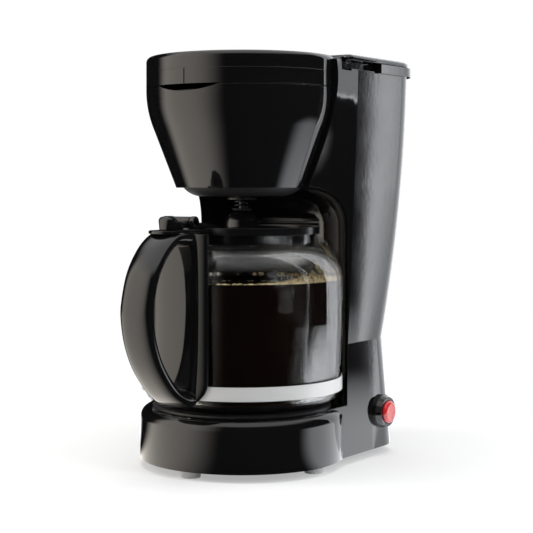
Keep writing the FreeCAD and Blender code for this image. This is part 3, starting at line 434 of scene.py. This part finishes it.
def lathe(name, profile, steps=128, smooth_angle=35.0):
    """Mesh turned about +Z from (radius, height) points; a radius of 0 closes on the axis."""
    build = bmesh.new()
    rows = []
    for radius, height in profile:
        if radius <= 0.0:
            rows.append([build.verts.new((0.0, 0.0, height))])
        else:
            rows.append([build.verts.new((radius * math.cos(2 * math.pi * i / steps),
                                          radius * math.sin(2 * math.pi * i / steps), height))
                         for i in range(steps)])
    for low, high in zip(rows, rows[1:]):
        for i in range(steps):
            j = i + 1
            ring = [low[i % len(low)], low[j % len(low)], high[j % len(high)], high[i % len(high)]]
            corners = list(dict.fromkeys(ring))
            if len(corners) > 2:
                build.faces.new(corners)
    return finish_mesh(name, build, smooth_angle)


def arc(centre, radius, start, end, count):
    """Points on an arc, angles in degrees."""
    return [(centre[0] + radius * math.cos(math.radians(start + (end - start) * i / count)),
             centre[1] + radius * math.sin(math.radians(start + (end - start) * i / count)))
            for i in range(count + 1)]


class COFFEEMAKER_OT_finishes(bpy.types.Operator):
    """Makes the finishes and gives every node its own"""

    bl_idname = "coffee_maker.finishes"
    bl_label = "Finishes"

    def execute(self, context):
        tone = settings().colours
        FINISHES.update({
            "gloss_black": plastic("gloss_black", tone.black, rough=0.035, spread=0.04, grain=0.000008,
                                   grain_scale=240.0),
            "satin_black": plastic("satin_black", tone.black, rough=0.16, spread=0.1, grain=0.00002,
                                   grain_scale=600.0),
            "matte_black": plastic("matte_black", tone.matte, rough=0.42, spread=0.15, grain=0.00005,
                                   grain_scale=900.0),
            "foot_rubber": plastic("foot_rubber", tone.rubber, rough=0.55, spread=0.15, grain=0.00005,
                                   grain_scale=800.0),
            "dark_rubber": plastic("dark_rubber", tone.matte, rough=0.3, spread=0.12, grain=0.00003,
                                   grain_scale=900.0),
            "plate_coat": coated_plate("plate_coat", tone.plate),
            "cast_aluminium": metal("cast_aluminium", tone.aluminium, rough=0.35,
                                    streaks=(300.0, 300.0, 300.0)),
            "bright_steel": metal("bright_steel", tone.band, rough=0.3, streaks=(40.0, 40.0, 2600.0),
                                  mirror=0.35),
            "plain_steel": metal("plain_steel", tone.steel, rough=0.22, streaks=(500.0, 500.0, 900.0)),
            "dark_steel": metal("dark_steel", tone.dark_steel, rough=0.25, streaks=(500.0, 500.0, 900.0)),
            "silicone": silicone_finish("silicone", tone.silicone),
            "button_red": red_finish("button_red", tone.red),
            "jug_glass": glass_finish("jug_glass"),
            "coffee": coffee_finish("coffee", tone.coffee),
            "coffee_foam": foam_finish("coffee_foam", tone.foam),
        })
        for finish, nodes in NODE_FINISH.items():
            for node in nodes:
                paint(node, finish)
        return {"FINISHED"}


def smooth_line(points, count):
    """Evenly drawn points on a smooth line through the given ones."""
    ends = [tuple(2 * a - b for a, b in zip(points[0], points[1])), *points,
            tuple(2 * a - b for a, b in zip(points[-1], points[-2]))]
    line = []
    for i in range(count + 1):
        at = i / count * (len(points) - 1)
        k = min(int(at), len(points) - 2)
        t = at - k
        line.append(tuple(
            0.5 * (2 * b + (c - a) * t + (2 * a - 5 * b + 4 * c - d) * t ** 2
                   + (3 * b - a - 3 * c + d) * t ** 3)
            for a, b, c, d in zip(*ends[k:k + 4])))
    return line


def oval(half_w, half_t, power, count):
    """A rounded section: a circle at power 2, squarer above."""
    ring = []
    for i in range(count):
        turn = 2 * math.pi * i / count
        across, up = math.cos(turn), math.sin(turn)
        ring.append((math.copysign(abs(across) ** (2 / power), across) * half_w,
                     math.copysign(abs(up) ** (2 / power), up) * half_t))
    return ring


def skin_rings(build, rings):
    """Joins rings of points into a closed tube with flat ends."""
    rows = [[build.verts.new(point) for point in ring] for ring in rings]
    for low, high in zip(rows, rows[1:]):
        for i in range(len(low)):
            j = (i + 1) % len(low)
            build.faces.new((low[i], low[j], high[j], high[i]))
    build.faces.new(reversed(rows[0]))
    build.faces.new(rows[-1])


def sweep_side(build, line, widths, depths, power=2.5, count=48):
    """Sweeps a rounded section along a (y, z) line in the jug's middle plane."""
    rings = []
    last = len(line) - 1
    for i, (y, z) in enumerate(line):
        ahead = line[min(i + 1, last)]
        back = line[max(i - 1, 0)]
        run = Vector((0.0, ahead[0] - back[0], ahead[1] - back[1])).normalized()
        out = Vector((1.0, 0.0, 0.0)).cross(run)
        share = i / last
        ring = oval(along(widths, share), along(depths, share), power, count)
        rings.append([Vector((across, y, z)) + out * up for across, up in ring])
    skin_rings(build, rings)


def along(stops, share):
    """Value at a share of the way, eased between (share, value) stops."""
    for (low, first), (high, second) in zip(stops, stops[1:]):
        if share <= high:
            t = (share - low) / (high - low)
            return first + (second - first) * t * t * (3.0 - 2.0 * t)
    return stops[-1][1]


def plan_slab(build, outline, low, high, edge):
    """A slab of an (x, y) outline with rounded upper and lower edges."""
    middle = Vector((sum(x for x, _ in outline) / len(outline), sum(y for _, y in outline) / len(outline)))
    rings = []
    for inset, height in ((edge, low), (edge * 0.3, low + edge * 0.3), (0.0, low + edge),
                          (0.0, high - edge), (edge * 0.3, high - edge * 0.3), (edge, high)):
        ring = []
        for x, y in outline:
            spoke = Vector((x, y)) - middle
            spot = middle + spoke * (1.0 - inset / spoke.length)
            ring.append((spot.x, spot.y, height))
        rings.append(ring)
    skin_rings(build, rings)


def side_barrel(build, y, z, radius, half_x, middle=0.0, count=32, edge=0.0004):
    """A round bar across the machine, centred on x = middle, with softened ends."""
    rings = []
    inner = radius - edge
    for x, r in ((-half_x, inner), (edge - half_x, radius), (half_x - edge, radius), (half_x, inner)):
        ring = [(turn_y * r + y, turn_z * r + z) for turn_y, turn_z in oval(1.0, 1.0, 2.0, count)]
        rings.append([(middle + x, *spot) for spot in ring])
    skin_rings(build, rings)


def finish_mesh(name, build, smooth_angle=35.0):
    """Turns a bmesh into a smooth-shaded mesh."""
    bmesh.ops.recalc_face_normals(build, faces=build.faces)
    mesh = bpy.data.meshes.new(name)
    build.to_mesh(mesh)
    build.free()
    mesh.shade_smooth()
    mesh.set_sharp_from_angle(angle=math.radians(smooth_angle))
    return mesh


class COFFEEMAKER_OT_handle(bpy.types.Operator):
    """Sweeps the jug's handle and moulds its back plate, ledge and hinge ears"""

    bl_idname = "coffee_maker.handle"
    bl_label = "Jug handle"

    GRIP_LINE_MM = [(-76.0, 171.0), (-88.0, 172.3), (-98.0, 169.5), (-108.5, 161.0), (-118.5, 146.5),
                    (-124.1, 127.0), (-124.1, 115.0), (-120.5, 99.5), (-113.0, 84.0), (-100.0, 68.5),
                    (-89.0, 60.5), (-78.5, 58.0)]
    GRIP_STEPS = 72
    TOP_HALF_THICK = 6.2 * MM
    FOOT_HALF_THICK = 6.6 * MM
    PLATE_LOW = 54.0 * MM
    PLATE_HIGH = 174.5 * MM
    PLATE_SQUARENESS = 5.0
    LEDGE_NOSE_Y = -90.5 * MM
    LEDGE_REAR_Y = -60.0 * MM
    LEDGE_LOW = 174.8 * MM
    LEDGE_HIGH = 177.2 * MM
    LEDGE_EDGE = 0.7 * MM
    EAR_X = 10.5 * MM
    EAR_HALF_X = 2.0 * MM
    EAR_R = 3.4 * MM
    EAR_LOW = 176.5 * MM
    EAR_HIGH = 184.2 * MM
    EAR_EDGE = 0.6 * MM

    def execute(self, context):
        size = settings().handle
        build = bmesh.new()
        line = smooth_line([(y * MM, z * MM) for y, z in self.GRIP_LINE_MM], self.GRIP_STEPS)
        widths = [(0.0, size.root), (0.16, size.half_width), (0.8, size.half_width), (1.0, size.root)]
        depths = [(0.0, self.TOP_HALF_THICK), (0.2, size.half_thick), (0.85, size.half_thick),
                  (1.0, self.FOOT_HALF_THICK)]
        sweep_side(build, line, widths, depths)
        self.plate(build, size)
        self.ledge(build, size.half_width)
        for side in (-1, 1):
            self.ear(build, side * self.EAR_X)
        handle = put("jug_handle", finish_mesh("jug_handle", build), "carafe", "gloss_black")
        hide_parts("carafe_handle")
        return {"FINISHED"}

    def plate(self, build, size):
        """Curved plate against the glass, with rounded lower corners and edges."""
        corner = size.plate_corner
        straight_low = self.PLATE_LOW + corner
        rows = [self.PLATE_LOW + corner * (1 - math.cos(math.radians(a))) for a in range(4, 91, 6)]
        rows += [straight_low + (self.PLATE_HIGH - straight_low) * i / 10 for i in range(1, 11)]
        reach = (size.plate_inner + size.plate_outer) / 2
        thick = (size.plate_outer - size.plate_inner) / 2
        rings = []
        for z in rows:
            drop = max(0.0, straight_low - z)
            half = size.plate_half - corner + math.sqrt(max(corner ** 2 - drop ** 2, 0.0))
            ring = []
            for across, up in oval(half, thick, self.PLATE_SQUARENESS, 56):
                turn = across / reach
                ring.append(((reach + up) * math.sin(turn), -(reach + up) * math.cos(turn), z))
            rings.append(ring)
        skin_rings(build, rings)

    def ledge(self, build, half):
        """Flat shelf over the top of the grip, round in front."""
        front = [(half * math.sin(math.radians(a)), self.LEDGE_NOSE_Y - half * math.cos(math.radians(a)))
                 for a in range(-90, 91, 10)]
        outline = front + [(half, self.LEDGE_REAR_Y), (-half, self.LEDGE_REAR_Y)]
        plan_slab(build, outline, self.LEDGE_LOW, self.LEDGE_HIGH, self.LEDGE_EDGE)

    def ear(self, build, x):
        """One cheek of the lid's hinge: a foot with a round head about the pin."""
        foot = [(x + self.EAR_HALF_X * across, JUG_HINGE_Y + self.EAR_R * along_y) for across, along_y in
                ((-1, -1), (1, -1), (1, 1), (-1, 1))]
        plan_slab(build, foot, self.EAR_LOW, self.EAR_HIGH, self.EAR_EDGE)
        side_barrel(build, JUG_HINGE_Y, JUG_HINGE_Z, self.EAR_R, self.EAR_HALF_X, middle=x)


class COFFEEMAKER_OT_tank_lid(bpy.types.Operator):
    """Moulds the reservoir's crowned lid with its hinge arms"""

    bl_idname = "coffee_maker.tank_lid"
    bl_label = "Reservoir lid"

    EDGE_MM = [(1.2, 301.9), (0.2, 302.2), (0.0, 302.8), (0.0, 303.9), (0.5, 305.0), (1.7, 305.8),
               (4.0, 306.3), (9.0, 306.6), (18.0, 306.8), (30.0, 306.9)]
    FRONT_Y = 31.0 * MM
    CORNER_R = 33.0 * MM
    NOSE_R = 3.0 * MM
    HINGE_Y = 25.0 * MM
    HINGE_Z = 299.5 * MM
    ARM_X = 68.5 * MM
    ARM_HALF_X = 5.2 * MM
    ARM_R = 5.0 * MM
    ARM_FRONT_Y = 24.5 * MM
    ARM_REAR_Y = 36.0 * MM
    ARM_LOW = 299.6 * MM
    ARM_HIGH = 304.5 * MM
    ARM_EDGE = 0.6 * MM

    def execute(self, context):
        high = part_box("reservoir_lid")[1]
        middle_y = (self.FRONT_Y + high.y) / 2
        outline = self.outline(high)
        build = bmesh.new()
        rings = []
        for inset, z in self.EDGE_MM:
            shrink_x = 1.0 - inset * MM / high.x
            shrink_y = 1.0 - inset * MM / (high.y - middle_y)
            rings.append([(x * shrink_x, middle_y + (y - middle_y) * shrink_y, z * MM) for x, y in outline])
        skin_rings(build, rings)
        for side in (-1, 1):
            self.arm(build, side * self.ARM_X)
        lid = put("tank_lid", finish_mesh("tank_lid", build), "lid", "gloss_black")
        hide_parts("reservoir_lid")
        return {"FINISHED"}

    def outline(self, high):
        """The lid seen from above: wide round corners at the back, tight ones beside the head."""
        front = self.FRONT_Y + self.NOSE_R
        rear = high.y - self.CORNER_R
        corners = ((1, front, self.NOSE_R, -90), (1, rear, self.CORNER_R, 0),
                   (-1, rear, self.CORNER_R, 90), (-1, front, self.NOSE_R, 180))
        line = []
        for side, y, radius, turn in corners:
            line += arc((side * (high.x - radius), y), radius, turn, turn + 90, 10)
        return line

    def arm(self, build, x):
        """Hinge arm: a barrel about the pin and a bar up to the lid."""
        side_barrel(build, self.HINGE_Y, self.HINGE_Z, self.ARM_R, self.ARM_HALF_X, middle=x)
        left, right = x - self.ARM_HALF_X, x + self.ARM_HALF_X
        bar = [(left, self.ARM_FRONT_Y), (right, self.ARM_FRONT_Y), (right, self.ARM_REAR_Y),
               (left, self.ARM_REAR_Y)]
        plan_slab(build, bar, self.ARM_LOW, self.ARM_HIGH, self.ARM_EDGE)


class COFFEEMAKER_OT_jug_lid(bpy.types.Operator):
    """Moulds the jug's lid: disc, dome, arm and thumb lever"""

    bl_idname = "coffee_maker.jug_lid"
    bl_label = "Jug lid"

    DOME_MM = [(4.0, 186.8), (4.0, 188.5), (4.4, 188.8), (6.0, 188.7), (8.2, 188.0), (10.0, 186.7),
               (11.5, 184.7), (12.5, 182.0), (12.9, 179.4), (13.1, 177.6), (13.8, 176.7), (15.0, 176.5),
               (33.0, 176.6), (34.0, 177.2), (35.5, 177.2), (36.5, 176.6), (50.5, 176.5), (51.6, 176.1),
               (52.0, 175.4), (52.0, 173.9), (51.6, 173.5), (11.0, 173.5), (10.6, 180.0), (9.6, 183.6),
               (7.4, 186.0), (4.0, 186.8)]
    ARM_LINE_MM = [(-34.0, 175.6), (-42.0, 177.6), (-50.0, 179.0), (-58.0, 179.2), (-66.0, 179.9),
                   (-74.0, 180.6), (-80.0, 180.8)]
    ARM_STEPS = 30
    ARM_WIDTHS = [(0.0, 9.5 * MM), (0.3, 8.8 * MM), (0.6, 6.8 * MM), (1.0, 7.0 * MM)]
    ARM_DEPTHS = [(0.0, 0.8 * MM), (0.3, 2.8 * MM), (0.65, 1.8 * MM), (1.0, 2.6 * MM)]
    ARM_SQUARENESS = 2.6
    BARREL_R = 3.1 * MM
    BARREL_HALF_X = 7.9 * MM
    PADDLE_LEVELS = 12
    PADDLE_LOW = 177.7 * MM
    PADDLE_HEIGHT = 9.6 * MM
    PADDLE_HALF_X = 6.4 * MM
    PADDLE_FRONT_Y = -89.0 * MM
    PADDLE_BULGE = 7.2 * MM
    PADDLE_REAR_Y = -76.5 * MM
    PADDLE_SLOPE = 13.3 * MM
    PADDLE_SQUARENESS = 2.7
    SMOOTH_ANGLE = 40.0

    def execute(self, context):
        mesh = lathe("jug_lid", [(r * MM, z * MM) for r, z in self.DOME_MM], 96, self.SMOOTH_ANGLE)
        build = bmesh.new()
        build.from_mesh(mesh)
        bpy.data.meshes.remove(mesh)
        line = smooth_line([(y * MM, z * MM) for y, z in self.ARM_LINE_MM], self.ARM_STEPS)
        sweep_side(build, line, self.ARM_WIDTHS, self.ARM_DEPTHS, self.ARM_SQUARENESS)
        side_barrel(build, JUG_HINGE_Y, JUG_HINGE_Z, self.BARREL_R, self.BARREL_HALF_X)
        self.paddle(build)
        mesh = finish_mesh("jug_lid", build, self.SMOOTH_ANGLE)
        lid = put("jug_lid", mesh, "carafe", "satin_black")
        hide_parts("carafe_lid")
        return {"FINISHED"}

    def paddle(self, build):
        """Thumb lever: rounded in front and on top, sloping down to the arm."""
        rings = []
        for level in range(self.PADDLE_LEVELS + 1):
            t = level / self.PADDLE_LEVELS
            round_off = math.sqrt(max(0.0, 1.0 - max(0.0, (t - 0.55) / 0.45) ** 2.4))
            half = self.PADDLE_HALF_X * (0.35 + 0.65 * round_off)
            front = self.PADDLE_FRONT_Y - self.PADDLE_BULGE * (0.3 + 0.7 * round_off)
            rear = self.PADDLE_REAR_Y - self.PADDLE_SLOPE * t ** 1.3
            middle = (front + rear) / 2
            z = self.PADDLE_LOW + self.PADDLE_HEIGHT * t
            section = oval(half, (rear - front) / 2, self.PADDLE_SQUARENESS, 40)
            rings.append([(across, middle + up, z) for across, up in section])
        skin_rings(build, rings)


class COFFEEMAKER_OT_coffee(bpy.types.Operator):
    """Fills the jug with coffee and a rim of foam"""

    bl_idname = "coffee_maker.coffee"
    bl_label = "Coffee"

    GLASS_WALL = 2.2 * MM
    FOOT_R = 62.0 * MM
    FOOT_BEND = 9.6 * MM
    LOW_SIDE_R = 74.0 * MM
    LOW_SIDE_Z = 58.0 * MM
    BELLY_Z = 108.0 * MM
    FOAM_TURN = 0.3
    FOAM_SPREAD = 0.55
    STRAY_EVERY = 25
    PATCH_TURN = 0.35
    PATCH_RIM = 6.0 * MM
    PATCH_DEPTH = 30.0 * MM
    PATCH_CROWDING = 1.5
    BUBBLE_R = (0.4 * MM, 2.1 * MM)
    BUBBLE_SHRINK = 0.5
    BUBBLE_RISE = 0.3
    MENISCUS_STEPS = 6
    MENISCUS_RUN = 2.0

    def execute(self, context):
        size = settings().coffee
        low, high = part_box("carafe_glass")
        wall = self.GLASS_WALL + size.wall_gap
        belly = high.x - wall
        put("coffee", self.liquid(size, low.z + wall, wall, belly), "carafe", "coffee")
        put("coffee_foam", self.foam(size, belly), "carafe", "coffee_foam")
        return {"FINISHED"}

    def liquid(self, size, bottom, wall, belly):
        """The coffee's body, following the inside of the glass up to a climbing rim."""
        profile = [(0.0, bottom), (self.FOOT_R, bottom)]
        profile += arc((self.FOOT_R, bottom + self.FOOT_BEND), self.FOOT_BEND, -90.0, 0.0, 8)[1:]
        profile += [(self.LOW_SIDE_R - wall, self.LOW_SIDE_Z), (belly, self.BELLY_Z),
                    (belly, size.level + size.meniscus)]
        for i in range(1, self.MENISCUS_STEPS + 1):
            share = i / self.MENISCUS_STEPS
            profile.append((belly - size.meniscus * share * self.MENISCUS_RUN,
                            size.level + size.meniscus * (1.0 - share) ** 2))
        profile.append((0.0, size.level))
        return lathe("coffee", profile, 144)

    def foam(self, size, belly):
        """Bubbles in a patch against the glass, with a few strays round the rim."""
        ball = bmesh.new()
        bmesh.ops.create_icosphere(ball, subdivisions=1, radius=1.0)
        ball.verts.index_update()
        ball_corners = [corner.co.copy() for corner in ball.verts]
        ball_faces = [[corner.index for corner in face.verts] for face in ball.faces]
        ball.free()
        draw = random.Random(7)
        smallest, largest = self.BUBBLE_R
        patch_reach = self.PATCH_RIM + self.PATCH_DEPTH
        corners, faces = [], []
        for i in range(size.bubbles):
            if i % self.STRAY_EVERY == 0:
                angle = draw.uniform(-math.pi, math.pi)
            else:
                angle = draw.gauss(self.FOAM_TURN, self.FOAM_SPREAD)
            facing = max(0.0, math.cos(angle - self.PATCH_TURN))
            inwards = draw.random() ** self.PATCH_CROWDING * (self.PATCH_RIM + self.PATCH_DEPTH * facing ** 2)
            reach = belly - largest - inwards
            radius = draw.uniform(smallest, largest) * (1.0 - self.BUBBLE_SHRINK * inwards / patch_reach)
            spot = Vector((reach * math.cos(angle), reach * math.sin(angle),
                           size.level + radius * self.BUBBLE_RISE))
            faces += [[index + len(corners) for index in face] for face in ball_faces]
            corners += [spot + corner * radius for corner in ball_corners]
        mesh = bpy.data.meshes.new("coffee_foam")
        mesh.from_pydata(corners, [], faces)
        mesh.shade_smooth()
        return mesh


class COFFEEMAKER_OT_spring(bpy.types.Operator):
    """Winds the drip stop's spring"""

    bl_idname = "coffee_maker.spring"
    bl_label = "Drip stop spring"

    WIRE_R = 0.55 * MM
    TURNS = 2.0
    POINTS = 48
    VALVE_TRAVEL = 3.4 * MM

    def execute(self, context):
        low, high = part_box("valve_spring")
        coil_r = (high.x - low.x) / 2.0 - self.WIRE_R
        curve = bpy.data.curves.new("drip_spring", "CURVE")
        curve.dimensions = "3D"
        curve.bevel_depth = self.WIRE_R
        curve.bevel_resolution = 4
        spline = curve.splines.new("NURBS")
        spline.points.add(self.POINTS)
        for i, point in enumerate(spline.points):
            share = i / self.POINTS
            angle = 2.0 * math.pi * self.TURNS * share
            height = low.z + self.WIRE_R + (high.z - low.z - 2.0 * self.WIRE_R) * share
            point.co = (coil_r * math.cos(angle), coil_r * math.sin(angle), height, 1.0)
        spline.order_u = 3
        spline.use_endpoint_u = True
        piece = bpy.data.objects.new("drip_spring", curve)
        context.scene.collection.objects.link(piece)
        mesh = bpy.data.meshes.new_from_object(piece.evaluated_get(context.evaluated_depsgraph_get()))
        bpy.data.objects.remove(piece)
        mesh.name = "drip_spring"
        mesh.shade_smooth()
        piece = put("drip_spring", mesh, "basket", "dark_steel")
        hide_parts("valve_spring")
        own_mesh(piece)
        return {"FINISHED"}


def softbox(name, place, aim, width, height, watts, colour):
    """A soft rectangular lamp aimed at a point."""
    lamp = bpy.data.lights.new(name, "AREA")
    lamp.shape = "RECTANGLE"
    lamp.size = width
    lamp.size_y = height
    lamp.energy = watts
    lamp.color = colour
    made = bpy.data.objects.new(name, lamp)
    made.location = place
    made.rotation_euler = (Vector(aim) - Vector(place)).to_track_quat("-Z", "Y").to_euler()
    made.visible_glossy = False
    bpy.context.scene.collection.objects.link(made)


class COFFEEMAKER_OT_stage(bpy.types.Operator):
    """Sets the floor, the white surround, the lamps and the camera"""

    bl_idname = "coffee_maker.stage"
    bl_label = "Studio"

    LAMP_AIM = (0.0, 0.03, 0.16)
    LAMPS = [("lamp_left", (-0.95, -0.75, 0.45), 0.35, 1.1, 9.0, (1.0, 0.96, 0.91)),
             ("lamp_right", (1.25, -0.10, 0.45), 0.45, 1.2, 11.0, (0.94, 0.97, 1.0)),
             ("lamp_top", (0.0, 0.0, 1.5), 1.2, 1.2, 16.0, (1.0, 1.0, 1.0))]
    FLOOR_PALE = (0.93, 0.93, 0.93)
    WHITE = (1.0, 1.0, 1.0)
    FILL = (0.45, 0.45, 0.45)
    ROOM = (0.006, 0.006, 0.0065)
    WARM_SCREEN = (2.3, 2.15, 1.95)
    COOL_SCREEN = (4.2, 4.3, 4.45)
    OVERHEAD = (1.5, 1.5, 1.5)
    WARM_BEARING = -82.0
    WARM_SPREAD = (0.45, 1.0)
    WARM_END_BEARING = -170.0
    WARM_END = (0.35, 0.65)
    COOL_BEARING = 141.0
    COOL_EDGE = (0.8997, 0.9012)
    COOL_FADE = (0.9008, 0.914)
    COOL_DIM = 0.65
    WEDGE_SLOPE = 0.92
    WEDGE_EDGE = (-0.16, 0.16)
    WEDGE_REACH = (0.25, 1.1)
    WEDGE_SHARE = 0.6
    CEILING_RISE = (0.55, 0.8)
    TOWER_SIDE = (78.5 * MM, 86.0 * MM, 0.0)

    def execute(self, context):
        size = settings().stage
        scene = context.scene
        scene.view_settings.view_transform = "Standard"
        ahead = self.camera(scene, size)
        self.floor(size, ahead)
        self.surround(scene, ahead)
        for name, place, width, height, watts, colour in self.LAMPS:
            softbox(name, place, self.LAMP_AIM, width, height, watts, colour)
        return {"FINISHED"}

    def camera(self, scene, size):
        """Stands the camera where the photograph was taken from, and gives the way it looks."""
        eye = Vector(size.camera)
        lens = bpy.data.cameras.new("camera")
        lens.sensor_width = SENSOR
        lens.lens = size.focal_pixels / PHOTO_SIDE * SENSOR
        half = PHOTO_SIDE / 2.0
        lens.shift_x = (half - size.centre[0]) / PHOTO_SIDE
        lens.shift_y = (size.centre[1] - half) / PHOTO_SIDE
        camera = bpy.data.objects.new("camera", lens)
        camera.location = eye
        ahead = Vector((0.0, 0.0, eye.z)) - eye
        camera.rotation_euler = ahead.to_track_quat("-Z", "Y").to_euler()
        scene.collection.objects.link(camera)
        scene.camera = camera
        return ahead.normalized()

    def floor(self, size, ahead):
        """Pale floor: white far off, with the object's shadow near it; in gloss it glows with a painted
        studio of screens and a dim room.
        """
        build = bmesh.new()
        bmesh.ops.create_grid(build, x_segments=8, y_segments=8, size=size.floor_half)
        mesh = bpy.data.meshes.new("floor")
        build.to_mesh(mesh)
        build.free()
        made, wire, place = new_finish("floor")
        reach = wire.vector("LENGTH", place, out=1)
        far = reach.step(size.shadow_reach * 0.5, size.shadow_reach)
        straight, gloss = self.rays(wire)
        white = wire.node("ShaderNodeEmission", None, {"Color": self.WHITE, "Strength": 1.0})
        lit = wire.node("ShaderNodeBsdfDiffuse", None, {"Color": self.FLOOR_PALE})
        share = straight * (1 - size.floor_lit + far * size.floor_lit)
        ground = wire.node("ShaderNodeMixShader", None, {0: share, 1: lit, 2: white})
        # Painted reflection: for gloss rays the floor glows with the studio's dim room and screens, brightest
        # near the machine.
        painted_gloss_glow = wire.node("ShaderNodeEmission", None, {"Color": self.studio(wire, place, ahead, reach)})
        close_finish(wire, wire.node("ShaderNodeMixShader", None, {0: gloss, 1: ground, 2: painted_gloss_glow}))
        mesh.materials.append(made)
        floor = bpy.data.objects.new("floor", mesh)
        bpy.context.scene.collection.objects.link(floor)

    def rays(self, wire):
        """Masks for rays seen straight or through glass, and for rays seen in gloss."""
        path = wire.node("ShaderNodeLightPath").socket.node.outputs
        camera, gloss, through = [Wire(wire.tree, path[name]) for name in
                                  ("Is Camera Ray", "Is Glossy Ray", "Is Transmission Ray")]
        return wire.math("MAXIMUM", camera, through), gloss

    def studio(self, wire, place, ahead, reach=None):
        """What gloss shows: a dim room, a warm screen left, a cool one behind right, a lit ceiling.

        On the floor, where all of this is a painted glow that only gloss sees, reach is the distance from the
        machine, and a painted wedge of the cool screen also glows near it.
        """
        def towards(degrees, start=(0.0, 0.0, 0.0)):
            """How far a ray from start runs towards a bearing, counted to the right from the camera."""
            flat = wire.vector("MULTIPLY", wire.vector("SUBTRACT", place, start), (1.0, 1.0, 0.0))
            aim = Quaternion((0.0, 0.0, 1.0), math.radians(degrees)) @ -ahead
            return wire.vector("DOT_PRODUCT", wire.vector("NORMALIZE", flat), tuple(aim), out=1)

        warm = towards(self.WARM_BEARING).step(*self.WARM_SPREAD)
        warm = warm * (1 - towards(self.WARM_END_BEARING).step(*self.WARM_END))
        behind = towards(self.COOL_BEARING, (0.0, 0.0, 0.0) if reach is None else self.TOWER_SIDE)
        cool = behind.step(*self.COOL_EDGE)
        fade = 1 - behind.step(*self.COOL_FADE) * self.COOL_DIM
        if reach is not None:
            # Painted glow on the floor near the machine, standing for the cool screen's reflection.
            painted_floor_glow = (towards(self.COOL_BEARING) - reach * self.WEDGE_SLOPE).step(*self.WEDGE_EDGE)
            painted_floor_glow = painted_floor_glow * (1 - reach.step(*self.WEDGE_REACH)) * self.WEDGE_SHARE
            cool = wire.math("MAXIMUM", cool, painted_floor_glow)
        colour = warm.mix(self.ROOM, self.WARM_SCREEN)
        colour = (cool * fade).mix(colour, self.COOL_SCREEN)
        rise = wire.node("ShaderNodeSeparateXYZ", None, {0: place}, out=2)
        return rise.step(*self.CEILING_RISE).mix(colour, self.OVERHEAD)

    def surround(self, scene, ahead):
        """White surround for the camera, the studio in gloss, plain fill for the rest."""
        world = bpy.data.worlds.new("surround")
        world.use_nodes = True
        world.node_tree.nodes.clear()
        scene.world = world
        wire = Wire(world.node_tree)
        look = wire.node("ShaderNodeTexCoord", out=0)
        straight, gloss = self.rays(wire)
        colour = gloss.mix(straight.mix(self.FILL, self.WHITE), self.studio(wire, look, ahead))
        glow = wire.node("ShaderNodeBackground", None, {"Color": colour, "Strength": 1.0})
        wire.node("ShaderNodeOutputWorld", None, {"Surface": glow})


class COFFEEMAKER_PT_sidebar(bpy.types.Panel):
    """Settings and steps of the coffee maker"""

    bl_idname = "COFFEEMAKER_PT_sidebar"
    bl_label = "Coffee maker"
    bl_space_type = "VIEW_3D"
    bl_region_type = "UI"
    bl_category = "Coffee maker"

    def draw(self, context):
        column = self.layout.column()
        for step in STEPS:
            column.operator(step.bl_idname)
        held = settings()
        for group in (held.stage, held.colours, held.coffee, held.handle):
            for name in group.__annotations__:
                column.prop(group, name)


STEPS = [COFFEEMAKER_OT_finishes, COFFEEMAKER_OT_tank_lid, COFFEEMAKER_OT_handle, COFFEEMAKER_OT_jug_lid,
         COFFEEMAKER_OT_coffee, COFFEEMAKER_OT_spring, COFFEEMAKER_OT_stage]
CLASSES = [StageSizes, FinishColours, CoffeeSizes, HandleSizes, CoffeeMakerSettings, *STEPS,
           COFFEEMAKER_PT_sidebar]


def register():
    for kind in CLASSES:
        bpy.utils.register_class(kind)
    bpy.types.Scene.coffee_maker = PointerProperty(type=CoffeeMakerSettings)


def unregister():
    del bpy.types.Scene.coffee_maker
    for kind in reversed(CLASSES):
        bpy.utils.unregister_class(kind)


def main():
    register()
    for step in STEPS:
        group, name = step.bl_idname.split(".")
        getattr(getattr(bpy.ops, group), name)()


if __name__ == "__main__":
    main()
